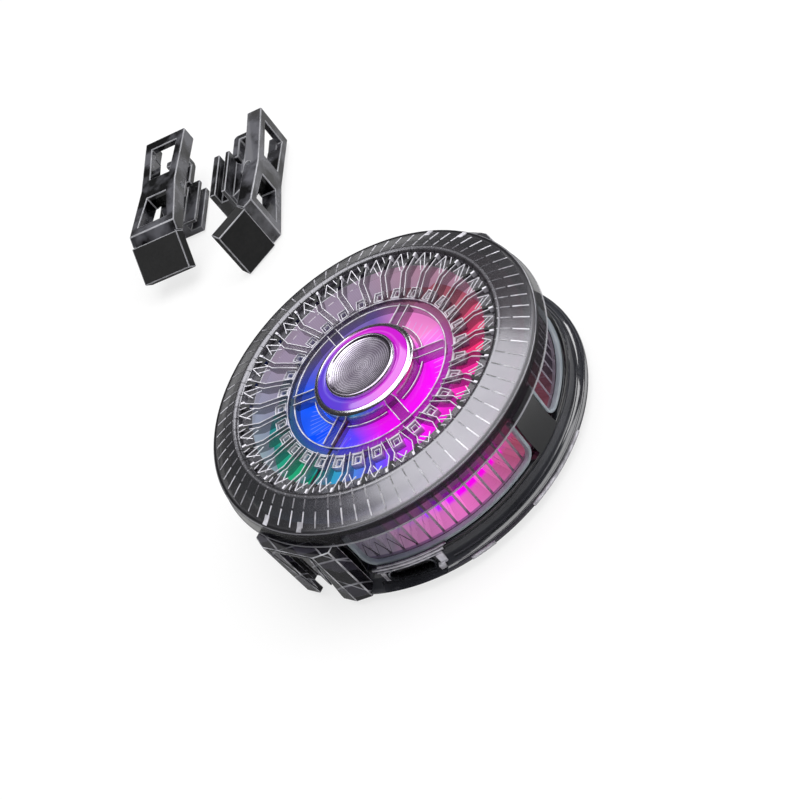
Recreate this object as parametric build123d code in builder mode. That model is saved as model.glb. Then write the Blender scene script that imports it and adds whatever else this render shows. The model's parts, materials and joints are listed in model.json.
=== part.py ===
"""Round clip-on cooling fan for a phone, with its two spring clips taken off.

The origin is the middle of the contact face, which lies on the phone's back.
+Z points out of the fan's inlet grille and +X points at the right clip dock.
All lengths are millimetres.
"""

from build123d import *
import math
import os

os.makedirs("parts", exist_ok=True)

# Overrun of every cut, gap between stacked or nested fixed pieces
overrun = 2.0
fit_gap = 0.1

# Screws: socket heads and thin shanks
screw_head_radius = 1.1
screw_head_height = 0.7
screw_shank_radius = 0.6
screw_socket_radius = 0.4
screw_socket_depth = 0.35
screw_bite_depth = 2.0

# Thermoelectric module and its foam ring
module_side = 23.0
ceramic_thickness = 0.6
pellet_side = 1.3
pellet_height = 1.4
pellet_rows = 8
pellet_margin_width = 1.75
pellet_pitch = (module_side - 2 * pellet_margin_width - pellet_side) / (pellet_rows - 1)
foam_side_width = 10.3
foam_outer_radius = module_side / 2 + foam_side_width
foam_channel_width = 6.0

# Contact side: soft pads and the cold plate
cold_plate_margin_width = 0.7
cold_plate_radius = foam_outer_radius + cold_plate_margin_width
cold_plate_thickness = 1.5
pad_edge_width = 0.5
pad_radius = cold_plate_radius - pad_edge_width
pad_thickness = 0.5
screw_hole_wall_thickness = 0.3
sink_post_circle = (
    cold_plate_radius + screw_hole_wall_thickness + screw_head_radius + 2 * fit_gap
)
cold_flange_edge_width = 1.3
cold_flange_radius = sink_post_circle + cold_flange_edge_width
cold_flange_thickness = 0.8
grip_thickness = 0.8

# Main board, round the cold plate's flange
board_flange_gap = 0.5
board_width = 4.0
board_inner_radius = cold_flange_radius + board_flange_gap
board_outer_radius = board_inner_radius + board_width
board_middle_radius = (board_inner_radius + board_outer_radius) / 2
board_thickness = 0.8
board_post_radius = 1.5
board_post_offset_width = 0.5
board_post_circle = board_middle_radius + board_post_offset_width
board_post_angles = (30.0, 120.0, 240.0, 330.0)
board_screw_head_radius = 1.1
board_screw_head_height = 0.6
chip_side = 2.6
chip_height = 0.9
chip_angles = (60.0, 90.0, 180.0, 270.0, 300.0)

# Base shell with its flared flange
board_wall_gap = 0.3
base_wall_thickness = 1.6
base_cavity_radius = board_outer_radius + board_wall_gap
base_waist_radius = base_cavity_radius + base_wall_thickness
flange_overhang_width = 2.2
flange_undercut_width = 1.4
flange_rise_height = 1.3
flange_lip_height = 0.9
flange_radius = base_waist_radius + flange_overhang_width
flange_foot_radius = flange_radius - flange_undercut_width
flare_bulge_depth = 0.55

# Soft grip ring under the base
grip_plate_gap = 0.9
grip_edge_gap = 1.6
grip_inner_radius = cold_plate_radius + grip_plate_gap
grip_outer_radius = flange_foot_radius - grip_edge_gap
grip_groove_width = 0.6
grip_groove_depth = 0.3
grip_groove_shares = (0.29, 0.71)
grip_groove_radii = [
    grip_inner_radius + share * (grip_outer_radius - grip_inner_radius)
    for share in grip_groove_shares
]

# Side wall with four air windows
side_wall_thickness = 1.9
wall_waist_depth = 0.7
sill_height = 0.4
wall_inner_radius = base_waist_radius - side_wall_thickness
wall_waist_radius = base_waist_radius - wall_waist_depth
pillar_half_angle = 6.0
dock_half_angle = 16.0
tab_angle = 9.3
tab_width = 2.6
tab_thickness = 0.8
tab_height = 2.0

# Light window frames
frame_setback_depth = 0.3
frame_outer_radius = base_waist_radius - frame_setback_depth
frame_sill_height = 0.75
frame_sill_inner_share = 0.3
frame_post_angle = 1.9
frame_end_gap_angle = 0.25
frame_top_drop_height = 0.9

# Heat sink
fin_wall_gap = 0.4
fin_length = 4.8
fin_overhang_length = 1.5
fin_count = 72
fin_thickness = 0.45
fin_cover_height = 2.0
low_fin_height = 2.2
low_fin_hub_gap = 2.15
sink_base_thickness = 1.0
sink_post_radius = 1.1
sink_post_angles = (45.0, 135.0, 225.0, 315.0)
fin_outer_radius = wall_inner_radius - fin_wall_gap
fin_inner_radius = fin_outer_radius - fin_length
sink_base_radius = fin_outer_radius - fin_overhang_length

# Wires held inside the cooler and the slot that they drop through
wire_radius = 0.25
wire_bend_radius = 0.9
wire_board_width = 0.5
wire_drop_radius = board_inner_radius + wire_board_width
wire_slot_width = 1.6
wire_slot_inner_radius = wire_drop_radius - wire_slot_width / 2
wire_slot_outer_radius = wire_drop_radius + wire_slot_width / 2
wire_slot_start = 174.0
wire_slot_end = 200.0
fan_wire_angles = (182.5, 187.5, 192.5)
fan_wire_lift_height = 0.4
hub_wire_angle = 177.5
hub_wire_edge_width = 1.2
hub_wire_drop_height = 0.4
module_wire_radius = 0.4
module_wire_spacing = 1.6
module_wire_angle = 150.0

# Motor on the heat sink, from the shaft outwards
shaft_radius = 1.0
shaft_running_gap = 0.04
shaft_end_gap = 0.2
bearing_wall_thickness = 0.9
bearing_tube_thickness = 0.7
bearing_tube_bore = shaft_radius + bearing_wall_thickness
bearing_tube_radius = bearing_tube_bore + bearing_tube_thickness
stator_hub_thickness = 1.2
stator_pole_length = 2.8
stator_pole_count = 6
stator_pole_width = 1.6
stator_shoe_depth = 0.8
stator_shoe_half_angle = 24.0
stator_hub_radius = bearing_tube_radius + stator_hub_thickness
shoe_inner_radius = stator_hub_radius + stator_pole_length
stator_outer_radius = shoe_inner_radius + stator_shoe_depth
winding_width = 0.8
winding_hub_gap = 0.4
winding_shoe_gap = 0.2
winding_inner_radius = stator_hub_radius + winding_hub_gap
winding_outer_radius = shoe_inner_radius - winding_shoe_gap

# Rotor: cup, magnet and impeller
air_gap = 0.4
magnet_thickness = 0.9
cup_shell_thickness = 0.55
rotor_boss_radius = 2.2
rotor_boss_height = 1.0
impeller_hub_wall_thickness = 0.9
impeller_cap_thickness = 1.0
impeller_hub_fillet_radius = 0.8
magnet_inner_radius = stator_outer_radius + air_gap
magnet_outer_radius = magnet_inner_radius + magnet_thickness
rotor_cup_inner = magnet_outer_radius + fit_gap / 2
rotor_cup_radius = rotor_cup_inner + cup_shell_thickness
impeller_inner_radius = rotor_cup_radius + fit_gap / 2
impeller_hub_radius = impeller_inner_radius + impeller_hub_wall_thickness
low_fin_inner_radius = impeller_hub_radius + low_fin_hub_gap
motor_base_edge_gap = 0.25
motor_base_radius = impeller_hub_radius - motor_base_edge_gap
motor_base_thickness = 0.8
motor_board_edge_gap = 0.85
motor_board_radius = impeller_hub_radius - motor_board_edge_gap
motor_board_thickness = 0.7
blade_count = 11
blade_thickness = 0.8
blade_root_pitch = 50.0
blade_tip_pitch = 36.0
blade_root_margin_height = 0.84
blade_tip_margin_height = 1.08
blade_drop_height = 0.1
blade_tip_gap = 1.5
blade_tip_radius = fin_inner_radius - blade_tip_gap

# Centre cup, medallion, light ring and trim
cup_edge_gap = 0.65
cup_radius = impeller_hub_radius - cup_edge_gap
cup_wall_thickness = 0.6
cup_rotor_gap = 1.4
cup_skirt_height = 1.8
cup_floor_thickness = 0.8
cup_rim_depth = 0.9
halo_width = 2.0
halo_thickness = 0.8
halo_outer_radius = cup_radius - cup_wall_thickness - fit_gap / 2
medallion_radius = halo_outer_radius - halo_width - fit_gap / 2
medallion_thickness = 1.7
medallion_recess_depth = 0.5
medallion_rim_width = 0.8
medallion_groove_width = 0.25
medallion_groove_depth = 0.15
medallion_groove_pitch = 0.9
medallion_groove_count = 5
trim_height = 0.5
trim_lip_width = 0.35

# Hub light board under the cup
hub_board_gap = 0.4
hub_board_radius = cup_radius - cup_wall_thickness - hub_board_gap
hub_board_thickness = 0.8
led_side = 1.6
led_height = 0.6
led_count = 6
led_edge_width = 2.0
led_circle = hub_board_radius - led_edge_width
hub_screw_led_width = 2.0
hub_screw_circle = led_circle - hub_screw_led_width
hub_screw_bite_depth = 0.5

# Front cover and its grille
cover_overhang_width = 1.4
cover_band_slope_width = 0.8
cover_band_height = 3.1
cover_slope_width = 5.8
cover_slope_height = 2.6
cover_lip_width = 1.0
cover_mouth_drop_height = 0.6
cover_crest_rise_height = 1.0
cover_wall_thickness = 1.25
cover_ledge_thickness = 1.0
cover_foot_radius = base_waist_radius + cover_overhang_width
cover_ridge_radius = cover_foot_radius - cover_band_slope_width
cover_crest_radius = cover_ridge_radius - cover_slope_width
cover_mouth_radius = cover_crest_radius - cover_lip_width
spoke_count = 6
spoke_width = 2.2
spoke_length = 5.4
spoke_thickness = 1.9
spoke_rise_height = 0.2
grille_ring_width = 2.0
grille_ring_thickness = 1.8
grille_ring_drop_height = 0.5
grille_ring_inner_radius = cup_radius + spoke_length
grille_ring_outer_radius = grille_ring_inner_radius + grille_ring_width
vane_count = 30
vane_width = 1.2
vane_thickness = 1.8
vane_rise_height = 0.4
vane_outer_length = 3.6
vane_knee_radius = cover_mouth_radius - vane_outer_length
vane_knee_angle = 3.0

# Heights of the stack, from the contact face up to the module and heat sink
floor_bottom = grip_thickness
floor_top = pad_thickness + cold_plate_thickness
flange_height = floor_bottom + flange_rise_height
cold_flange_top = floor_top + cold_flange_thickness
pellets_bottom = cold_flange_top + ceramic_thickness
pellets_top = pellets_bottom + pellet_height
sink_bottom = pellets_top + ceramic_thickness
sink_top = sink_bottom + sink_base_thickness
motor_seat = sink_top + motor_base_thickness

# Heights of the motor and rotor, with the blades between the hub's ends
stator_lift_height = 1.9
stator_height = 3.0
tube_stand_height = 0.7
tube_cup_gap = 0.35
rotor_lift_height = 1.5
sleeve_end_gap = 0.2
stator_bottom = motor_seat + stator_lift_height
windings_top = stator_bottom + stator_height + winding_width
tube_top = windings_top + tube_stand_height
rotor_bottom = motor_seat + rotor_lift_height
magnet_height = windings_top - rotor_bottom
rotor_cup_top = tube_top + tube_cup_gap + cup_shell_thickness
rotor_boss_top = rotor_cup_top + rotor_boss_height
impeller_top = rotor_boss_top + impeller_cap_thickness
impeller_height = impeller_top - rotor_bottom
blade_middle = rotor_bottom + impeller_height / 2 - blade_drop_height
blade_root_chord = (impeller_height - 2 * blade_root_margin_height) / math.sin(
    math.radians(blade_root_pitch)
)
blade_tip_chord = (impeller_height - 2 * blade_tip_margin_height) / math.sin(
    math.radians(blade_tip_pitch)
)

# Heights of the cup, grille, cover and side wall, which follow from the rotor
cup_skirt_bottom = impeller_top + cup_rotor_gap
cup_floor_bottom = cup_skirt_bottom + cup_skirt_height
cup_floor_top = cup_floor_bottom + cup_floor_thickness
cup_seat = cup_floor_top
cup_rim_height = cup_floor_top + cup_rim_depth
halo_top = cup_seat + halo_thickness
medallion_top = cup_seat + medallion_thickness
hub_board_bottom = cup_floor_bottom - fit_gap - hub_board_thickness
spoke_top = cup_floor_top + spoke_rise_height
spoke_bottom = spoke_top - spoke_thickness
grille_ring_top = cup_floor_top - grille_ring_drop_height
grille_ring_bottom = grille_ring_top - grille_ring_thickness
vane_top = grille_ring_top + vane_rise_height
vane_bottom = vane_top - vane_thickness
cover_crest_height = cup_floor_top + cover_crest_rise_height
cover_ridge_height = cover_crest_height - cover_slope_height
wall_top = cover_ridge_height - cover_band_height
fin_top = wall_top + fin_cover_height

# Charging port in the base, and the main board's height
port_angle = 210.0
port_width = 8.94
port_height = 3.16
port_wall_thickness = 0.3
port_drop_height = 0.27
port_roof_thickness = 0.19
port_pocket_side_width = 1.83
port_pocket_rim_height = 0.22
port_tongue_side_gap = 1.12
port_tongue_thickness = 0.7
port_tongue_setback_depth = 0.8
port_back_wall_thickness = 0.8
port_mouth_radius = base_waist_radius + fit_gap
port_depth = port_mouth_radius - board_inner_radius
port_pocket_width = port_width + 2 * port_pocket_side_width
port_pocket_height = port_height + 2 * port_pocket_rim_height
port_tongue_width = port_width - 2 * port_tongue_side_gap
port_middle = (floor_top + sink_bottom) / 2 - port_drop_height
board_bottom = port_middle - board_thickness / 2
board_top = board_bottom + board_thickness
base_waist_height = port_middle + port_height / 2 + port_roof_thickness
sill_seat_height = base_waist_height + sill_height

# Clip docks, each with a slot for a clip's tongue
tongue_width = 10.6
tongue_thickness = 1.5
tongue_gap = 0.2
tongue_end_gap = 0.3
neck_width = 5.2
dock_seat_depth = 0.8
dock_foot_height = 0.4
dock_flank_wall_thickness = 0.4
dock_flank_slope_width = 2.7
dock_shoulder_depth = 2.0
dock_back_wall_thickness = 0.5
dock_lip_thickness = 1.2
dock_roof_thickness = 1.0
dock_rib_width = 0.7
dock_rib_depth = 0.5
dock_rib_angle = 12.0
dock_seat = base_waist_radius - dock_seat_depth
dock_flank_half_width = tongue_width / 2 + tongue_gap + dock_flank_wall_thickness
dock_half_width = dock_flank_half_width + dock_flank_slope_width
dock_slot_inner = dock_seat + dock_back_wall_thickness
slot_width = tongue_thickness + 2 * tongue_gap
dock_slot_outer = dock_slot_inner + slot_width
dock_face = dock_slot_outer + dock_lip_thickness
dock_bottom = floor_bottom + dock_foot_height
dock_top = wall_top - fit_gap
slot_height = dock_top - dock_roof_thickness - dock_bottom
tongue_height = slot_height - tongue_end_gap
neck_length = dock_lip_thickness + 2 * tongue_gap

# Clips: each is drawn about its hinge pin, outward is away from the cooler
clip_top_height = 16.7
clip_bottom_height = -14.3
lever_half_depth = 1.9
lever_top_half_width = 5.5
lever_waist_half_width = 4.7
lever_foot_half_width = 6.0
lever_rail_width = 2.1
lever_waist_half_height = 3.2
lever_top_bar_height = 2.8
lever_bottom_bar_height = 2.3
lever_bar_thickness = 1.5
lever_lug_depth = 0.8
lever_lug_half_height = 2.2
lever_slot_gap = 0.2
lever_side_gap = 0.3
foot_length = 10.5
foot_angle = 45.0
foot_core_thickness = 1.6
foot_edge_width = 0.5
pad_cover_thickness = 0.8
pin_offset = -1.0
pin_radius = 0.6
pin_grip_gap = 0.02
pin_running_gap = 0.06
web_eye_thickness = 0.8
web_half_thickness = 2.2
web_shoulder_height = 1.0
plate_thickness = 1.0
plate_face_offset = -6.0
loop_half_width = 2.9
loop_leg_width = 1.5
loop_bar_thickness = 1.8
loop_rise_height = 7.6
loop_end_offset = -3.1
web_eye_radius = pin_radius + web_eye_thickness
lever_slot_depth = web_eye_radius + lever_slot_gap
lever_slot_half_width = web_half_thickness + lever_side_gap
web_root_half_height = tongue_height / 2 - web_shoulder_height
loop_top = tongue_height / 2 + loop_rise_height
spring_wire_diameter = 0.4
spring_pin_gap = 0.15
spring_pitch = 0.85
spring_turns = 2.25
spring_leg_length = 1.6
spring_back_leg_length = 1.3
spring_coil_radius = pin_radius + spring_pin_gap + spring_wire_diameter / 2
right_clip_place = (56.0, 74.0)
clip_spacing = 24.82
clip_stagger_length = 4.9
clip_heading = 29.6
clip_along = (math.cos(math.radians(clip_heading)), math.sin(math.radians(clip_heading)))
left_clip_place = (
    right_clip_place[0] + clip_stagger_length * clip_along[0] - clip_spacing * clip_along[1],
    right_clip_place[1] + clip_stagger_length * clip_along[1] + clip_spacing * clip_along[0],
)


def polar(radius, angle):
    """Return the x, y point at a radius and an angle in degrees."""
    turn = math.radians(angle)
    return (radius * math.cos(turn), radius * math.sin(turn))


def wedge(radius, start, end):
    """Return the corners of a wedge from the axis out past a radius."""
    middle = (start + end) / 2
    reach = radius / math.cos(math.radians((end - start) / 4))
    return [(0, 0), polar(reach, start), polar(reach, middle), polar(reach, end)]


def keep(piece, name):
    """Label a finished piece and write it as one file."""
    piece.part.label = name
    export_step(piece.part, f"parts/{name}.step")


def ring(outer, inner, bottom, top):
    """Make a flat ring, or a disc where the inner radius is zero."""
    with BuildPart() as made:
        with BuildSketch(Plane.XY.offset(bottom)):
            Circle(outer)
            if inner:
                Circle(inner, mode=Mode.SUBTRACT)
        extrude(amount=top - bottom)
    return made


def screws(places, seat, head_radius, head_height, shank_top):
    """Make socket screws with their heads below the seat and shanks above."""
    with BuildPart() as made:
        with BuildSketch(Plane.XY.offset(seat - head_height)):
            with Locations(*places):
                Circle(head_radius)
        extrude(amount=head_height)
        with BuildSketch(Plane.XY.offset(seat)):
            with Locations(*places):
                Circle(screw_shank_radius)
        extrude(amount=shank_top - seat)
        with BuildSketch(Plane.XY.offset(seat - head_height)):
            with Locations(*places):
                RegularPolygon(screw_socket_radius, 6)
        extrude(amount=screw_socket_depth, mode=Mode.SUBTRACT)
    return made


# Thermal pad, the face that meets the phone
thermal_pad = ring(pad_radius, 0, 0, pad_thickness)
keep(thermal_pad, "thermal_pad")

# Soft grip ring with two round grooves
with BuildPart() as grip_ring:
    with BuildSketch():
        Circle(grip_outer_radius)
        Circle(grip_inner_radius, mode=Mode.SUBTRACT)
    extrude(amount=grip_thickness)
    with BuildSketch():
        for groove_radius in grip_groove_radii:
            Circle(groove_radius + grip_groove_width / 2)
            Circle(groove_radius - grip_groove_width / 2, mode=Mode.SUBTRACT)
    extrude(amount=grip_groove_depth, mode=Mode.SUBTRACT)
keep(grip_ring, "grip_ring")

# Places of the four frame screws
sink_post_places = [polar(sink_post_circle, angle) for angle in sink_post_angles]

# Cold plate: the disc in the shell's floor and the flange that holds it
with BuildPart() as cold_plate:
    with BuildSketch(Plane.XY.offset(pad_thickness)):
        Circle(cold_plate_radius)
    extrude(amount=cold_plate_thickness)
    with BuildSketch(Plane.XY.offset(floor_top)):
        Circle(cold_flange_radius)
    extrude(amount=cold_flange_thickness)
    with BuildSketch(Plane.XY.offset(floor_top)):
        with Locations(*sink_post_places):
            Circle(screw_shank_radius + fit_gap)
    extrude(amount=cold_flange_thickness, mode=Mode.SUBTRACT)
keep(cold_plate, "cold_plate")

# Foam ring that closes the gap round the thermoelectric module
with BuildPart() as foam_ring:
    with BuildSketch(Plane.XY.offset(cold_flange_top)):
        Circle(foam_outer_radius)
        Rectangle(module_side + 2 * fit_gap, module_side + 2 * fit_gap, mode=Mode.SUBTRACT)
        with Locations(Location((0, 0), module_wire_angle)):
            Rectangle(
                foam_outer_radius + overrun, foam_channel_width,
                align=(Align.MIN, Align.CENTER), mode=Mode.SUBTRACT,
            )
    extrude(amount=sink_bottom - cold_flange_top)
keep(foam_ring, "foam_ring")

# Thermoelectric module: two ceramic plates and the pellets between them
with BuildPart() as cold_ceramic:
    with BuildSketch(Plane.XY.offset(cold_flange_top)):
        Rectangle(module_side, module_side)
    extrude(amount=ceramic_thickness)
keep(cold_ceramic, "cold_ceramic")

with BuildPart() as hot_ceramic:
    with BuildSketch(Plane.XY.offset(pellets_top)):
        Rectangle(module_side, module_side)
    extrude(amount=ceramic_thickness)
keep(hot_ceramic, "hot_ceramic")

with BuildPart() as module_pellets:
    with BuildSketch(Plane.XY.offset(pellets_bottom)):
        with GridLocations(pellet_pitch, pellet_pitch, pellet_rows, pellet_rows):
            Rectangle(pellet_side, pellet_side)
    extrude(amount=pellet_height)
keep(module_pellets, "module_pellets")

# Heat sink: base disc, radial fins, posts and the slot that the wires drop through
with BuildPart() as heat_sink:
    with BuildSketch(Plane.XY.offset(sink_bottom)):
        Circle(sink_base_radius)
    extrude(amount=sink_base_thickness)
    with BuildSketch(Plane.XY.offset(sink_bottom)):
        Polygon(*wedge(sink_base_radius, wire_slot_start, wire_slot_end))
        Circle(wire_slot_inner_radius, mode=Mode.SUBTRACT)
        Circle(wire_slot_outer_radius, mode=Mode.INTERSECT)
    extrude(amount=sink_base_thickness, mode=Mode.SUBTRACT)
    with BuildSketch(Plane.XY.offset(sink_bottom)):
        with PolarLocations((fin_inner_radius + fin_outer_radius) / 2, fin_count):
            Rectangle(fin_outer_radius - fin_inner_radius, fin_thickness)
    extrude(amount=fin_top - sink_bottom)
    with BuildSketch(Plane.XY.offset(sink_top)):
        with PolarLocations((low_fin_inner_radius + fin_inner_radius) / 2, fin_count):
            Rectangle(fin_inner_radius - low_fin_inner_radius, fin_thickness)
    extrude(amount=low_fin_height)
    with BuildSketch(Plane.XY.offset(cold_flange_top)):
        with Locations(*sink_post_places):
            Circle(sink_post_radius)
    extrude(amount=sink_bottom - cold_flange_top)
    with BuildSketch(Plane.XY.offset(cold_flange_top)):
        with Locations(*sink_post_places):
            Circle(screw_shank_radius + fit_gap / 2)
    extrude(amount=screw_bite_depth + fit_gap, mode=Mode.SUBTRACT)
keep(heat_sink, "heat_sink")

screw_seat = floor_bottom + screw_head_height
frame_screws = screws(
    sink_post_places, screw_seat, screw_head_radius, screw_head_height,
    cold_flange_top + screw_bite_depth,
)
keep(frame_screws, "frame_screws")

# Charging port frame: local x runs across the port, y runs up, z runs out of it
port_plane = Plane(
    origin=(*polar(port_mouth_radius, port_angle), port_middle),
    x_dir=(*polar(1, port_angle + 90), 0),
    z_dir=(*polar(1, port_angle), 0),
)
board_post_places = [polar(board_post_circle, angle) for angle in board_post_angles]

# Base shell: floor, flared flange and the concave wall above it
with BuildPart() as base_shell:
    with BuildSketch(Plane.XZ):
        with BuildLine():
            Polyline(
                (flange_radius, flange_height),
                (flange_radius, flange_height - flange_lip_height / 2),
                (flange_foot_radius, floor_bottom),
                (cold_plate_radius + fit_gap, floor_bottom),
                (cold_plate_radius + fit_gap, floor_top),
                (base_cavity_radius, floor_top),
                (base_cavity_radius, base_waist_height),
                (base_waist_radius, base_waist_height),
            )
            ThreePointArc(
                (base_waist_radius, base_waist_height),
                (
                    (base_waist_radius + flange_radius) / 2 - flare_bulge_depth,
                    (base_waist_height + flange_height) / 2 - flare_bulge_depth,
                ),
                (flange_radius, flange_height),
            )
        make_face()
    revolve(axis=Axis.Z)
    with BuildSketch(Plane.XY.offset(floor_top)):
        with Locations(*board_post_places):
            Circle(board_post_radius)
    extrude(amount=board_bottom - floor_top)
    with BuildSketch(Plane.XY.offset(floor_top - screw_bite_depth / 2)):
        with Locations(*board_post_places):
            Circle(screw_shank_radius + fit_gap / 2)
    extrude(amount=board_bottom - floor_top + screw_bite_depth, mode=Mode.SUBTRACT)
    with BuildSketch(Plane.XY.offset(floor_bottom)):
        with Locations(*sink_post_places):
            Circle(screw_head_radius + fit_gap)
    extrude(amount=screw_head_height, mode=Mode.SUBTRACT)
    with BuildSketch(Plane.XY.offset(floor_bottom)):
        with Locations(*sink_post_places):
            Circle(screw_shank_radius + fit_gap)
    extrude(amount=floor_top - floor_bottom + overrun, mode=Mode.SUBTRACT)
    with BuildSketch(port_plane.offset(-port_depth - fit_gap)):
        RectangleRounded(
            port_width + 2 * fit_gap, port_height + 2 * fit_gap, port_height / 2
        )
    extrude(amount=port_depth + overrun, mode=Mode.SUBTRACT)
    with BuildSketch(port_plane):
        RectangleRounded(port_pocket_width, port_pocket_height, port_pocket_height / 3)
    extrude(amount=flange_radius - port_mouth_radius + overrun, mode=Mode.SUBTRACT)
    for side in (1, -1):
        with BuildSketch(Plane.XY):
            with Locations((side * (dock_seat + overrun + dock_lip_thickness), 0)):
                Rectangle(2 * (overrun + dock_lip_thickness), 2 * (dock_half_width + fit_gap))
        extrude(amount=base_waist_height + overrun, mode=Mode.SUBTRACT)
keep(base_shell, "base_shell")

# Air windows lie between the two pillars and the two docks
window_spans = (
    (dock_half_angle, 90 - pillar_half_angle),
    (90 + pillar_half_angle, 180 - dock_half_angle),
    (180 + dock_half_angle, 270 - pillar_half_angle),
    (270 + pillar_half_angle, 360 - dock_half_angle),
)
tab_angles = [base + side * tab_angle for base in (0, 180) for side in (1, -1)]
tab_middle_radius = (wall_inner_radius + wall_waist_radius) / 2

# Side wall: waisted ring cut by the air windows, flat seats for the docks, snap tabs
with BuildPart() as side_wall:
    with BuildSketch(Plane.XZ):
        with BuildLine():
            Polyline(
                (base_waist_radius, wall_top),
                (wall_inner_radius, wall_top),
                (wall_inner_radius, base_waist_height),
                (base_waist_radius, base_waist_height),
            )
            ThreePointArc(
                (base_waist_radius, base_waist_height),
                (wall_waist_radius, (base_waist_height + wall_top) / 2),
                (base_waist_radius, wall_top),
            )
        make_face()
    revolve(axis=Axis.Z)
    with BuildSketch(Plane.XY.offset(sill_seat_height)):
        for start, end in window_spans:
            Polygon(*wedge(base_waist_radius + overrun, start, end))
    extrude(amount=wall_top - sill_seat_height + overrun, mode=Mode.SUBTRACT)
    for side in (1, -1):
        with BuildSketch(Plane.XY.offset(base_waist_height)):
            with Locations((side * (dock_seat + overrun), 0)):
                Rectangle(2 * overrun, 2 * (dock_half_width + fit_gap))
        extrude(amount=wall_top - base_waist_height, mode=Mode.SUBTRACT)
    with BuildSketch(Plane.XY.offset(wall_top)):
        for angle in tab_angles:
            with Locations(Location((0, 0), angle)):
                with Locations((tab_middle_radius, 0)):
                    Rectangle(tab_thickness, tab_width)
    extrude(amount=tab_height)
keep(side_wall, "side_wall")

# Light frames along the sill and up both ends of each window
frame_bottom = sill_seat_height
frame_sill_top = frame_bottom + frame_sill_height
frame_top = wall_top - frame_top_drop_height
frame_slope_start = frame_bottom + frame_sill_height * frame_sill_inner_share
for number, (start, end) in enumerate(window_spans, 1):
    with BuildPart() as window_frame:
        with BuildSketch(Plane.XY.offset(frame_bottom)):
            Polygon(*wedge(
                frame_outer_radius + overrun,
                start + frame_end_gap_angle, end - frame_end_gap_angle,
            ))
            Circle(wall_inner_radius + fit_gap, mode=Mode.SUBTRACT)
            Circle(frame_outer_radius, mode=Mode.INTERSECT)
        extrude(amount=frame_top - frame_bottom)
        with BuildSketch(Plane.XY.offset(frame_sill_top)):
            Polygon(*wedge(
                frame_outer_radius + overrun,
                start + frame_post_angle, end - frame_post_angle,
            ))
        extrude(amount=frame_top, mode=Mode.SUBTRACT)
        with BuildSketch(Plane.XY.offset(frame_sill_top)):
            Circle(frame_outer_radius + overrun)
            Circle(wall_waist_radius - fit_gap, mode=Mode.SUBTRACT)
        extrude(amount=frame_top, mode=Mode.SUBTRACT)
        with BuildSketch(Plane.XZ):
            Polygon(
                (wall_inner_radius + 3 * fit_gap, frame_sill_top),
                (frame_outer_radius + fit_gap, frame_slope_start),
                (frame_outer_radius + overrun, frame_slope_start),
                (frame_outer_radius + overrun, frame_sill_top),
            )
        revolve(axis=Axis.Z, mode=Mode.SUBTRACT)
    keep(window_frame, f"window_frame_{number}")


def dock(side):
    """Make one clip dock: a faceted block with a T slot open at the bottom."""
    with BuildPart() as made:
        with BuildSketch(Plane.XY.offset(dock_bottom)):
            Polygon(
                (side * dock_seat, -dock_half_width),
                (side * (dock_seat + dock_shoulder_depth), -dock_half_width),
                (side * dock_face, -dock_flank_half_width),
                (side * dock_face, dock_flank_half_width),
                (side * (dock_seat + dock_shoulder_depth), dock_half_width),
                (side * dock_seat, dock_half_width),
            )
        extrude(amount=dock_top - dock_bottom)
        slot_middle = side * (dock_slot_inner + dock_slot_outer) / 2
        with BuildSketch(Plane.XY.offset(dock_bottom)):
            with Locations((slot_middle, 0)):
                Rectangle(slot_width, tongue_width + 2 * tongue_gap)
            with Locations((side * (dock_slot_outer + overrun / 2), 0)):
                Rectangle(overrun, neck_width + 2 * tongue_gap)
        extrude(amount=slot_height, mode=Mode.SUBTRACT)
        face = Plane(origin=(side * dock_face, 0, 0), x_dir=(0, side, 0), z_dir=(side, 0, 0))
        with BuildSketch(face):
            for flank in (1, -1):
                with Locations((flank * (neck_width / 2 + dock_lip_thickness), (dock_top + dock_bottom) / 2)):
                    Rectangle(dock_rib_width, dock_top - dock_bottom, rotation=-flank * dock_rib_angle)
        extrude(amount=-dock_rib_depth, mode=Mode.SUBTRACT)
    return made


keep(dock(1), "dock_right")
keep(dock(-1), "dock_left")

# Front cover: side band, sloped rim, grille of chevron vanes, ring, spokes and cup
vane_tip_radius = cover_mouth_radius + cover_wall_thickness / 2
vane_root_radius = grille_ring_outer_radius - fit_gap


def vane(angle):
    """Return the plan outline of one vane with its slight knee."""
    half = vane_width / 2
    stations = (
        (vane_root_radius, angle),
        (vane_knee_radius, angle + vane_knee_angle),
        (vane_tip_radius, angle),
    )
    near = [polar(radius, turn - math.degrees(half / radius)) for radius, turn in stations]
    far = [polar(radius, turn + math.degrees(half / radius)) for radius, turn in stations]
    return near + far[::-1]


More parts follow.
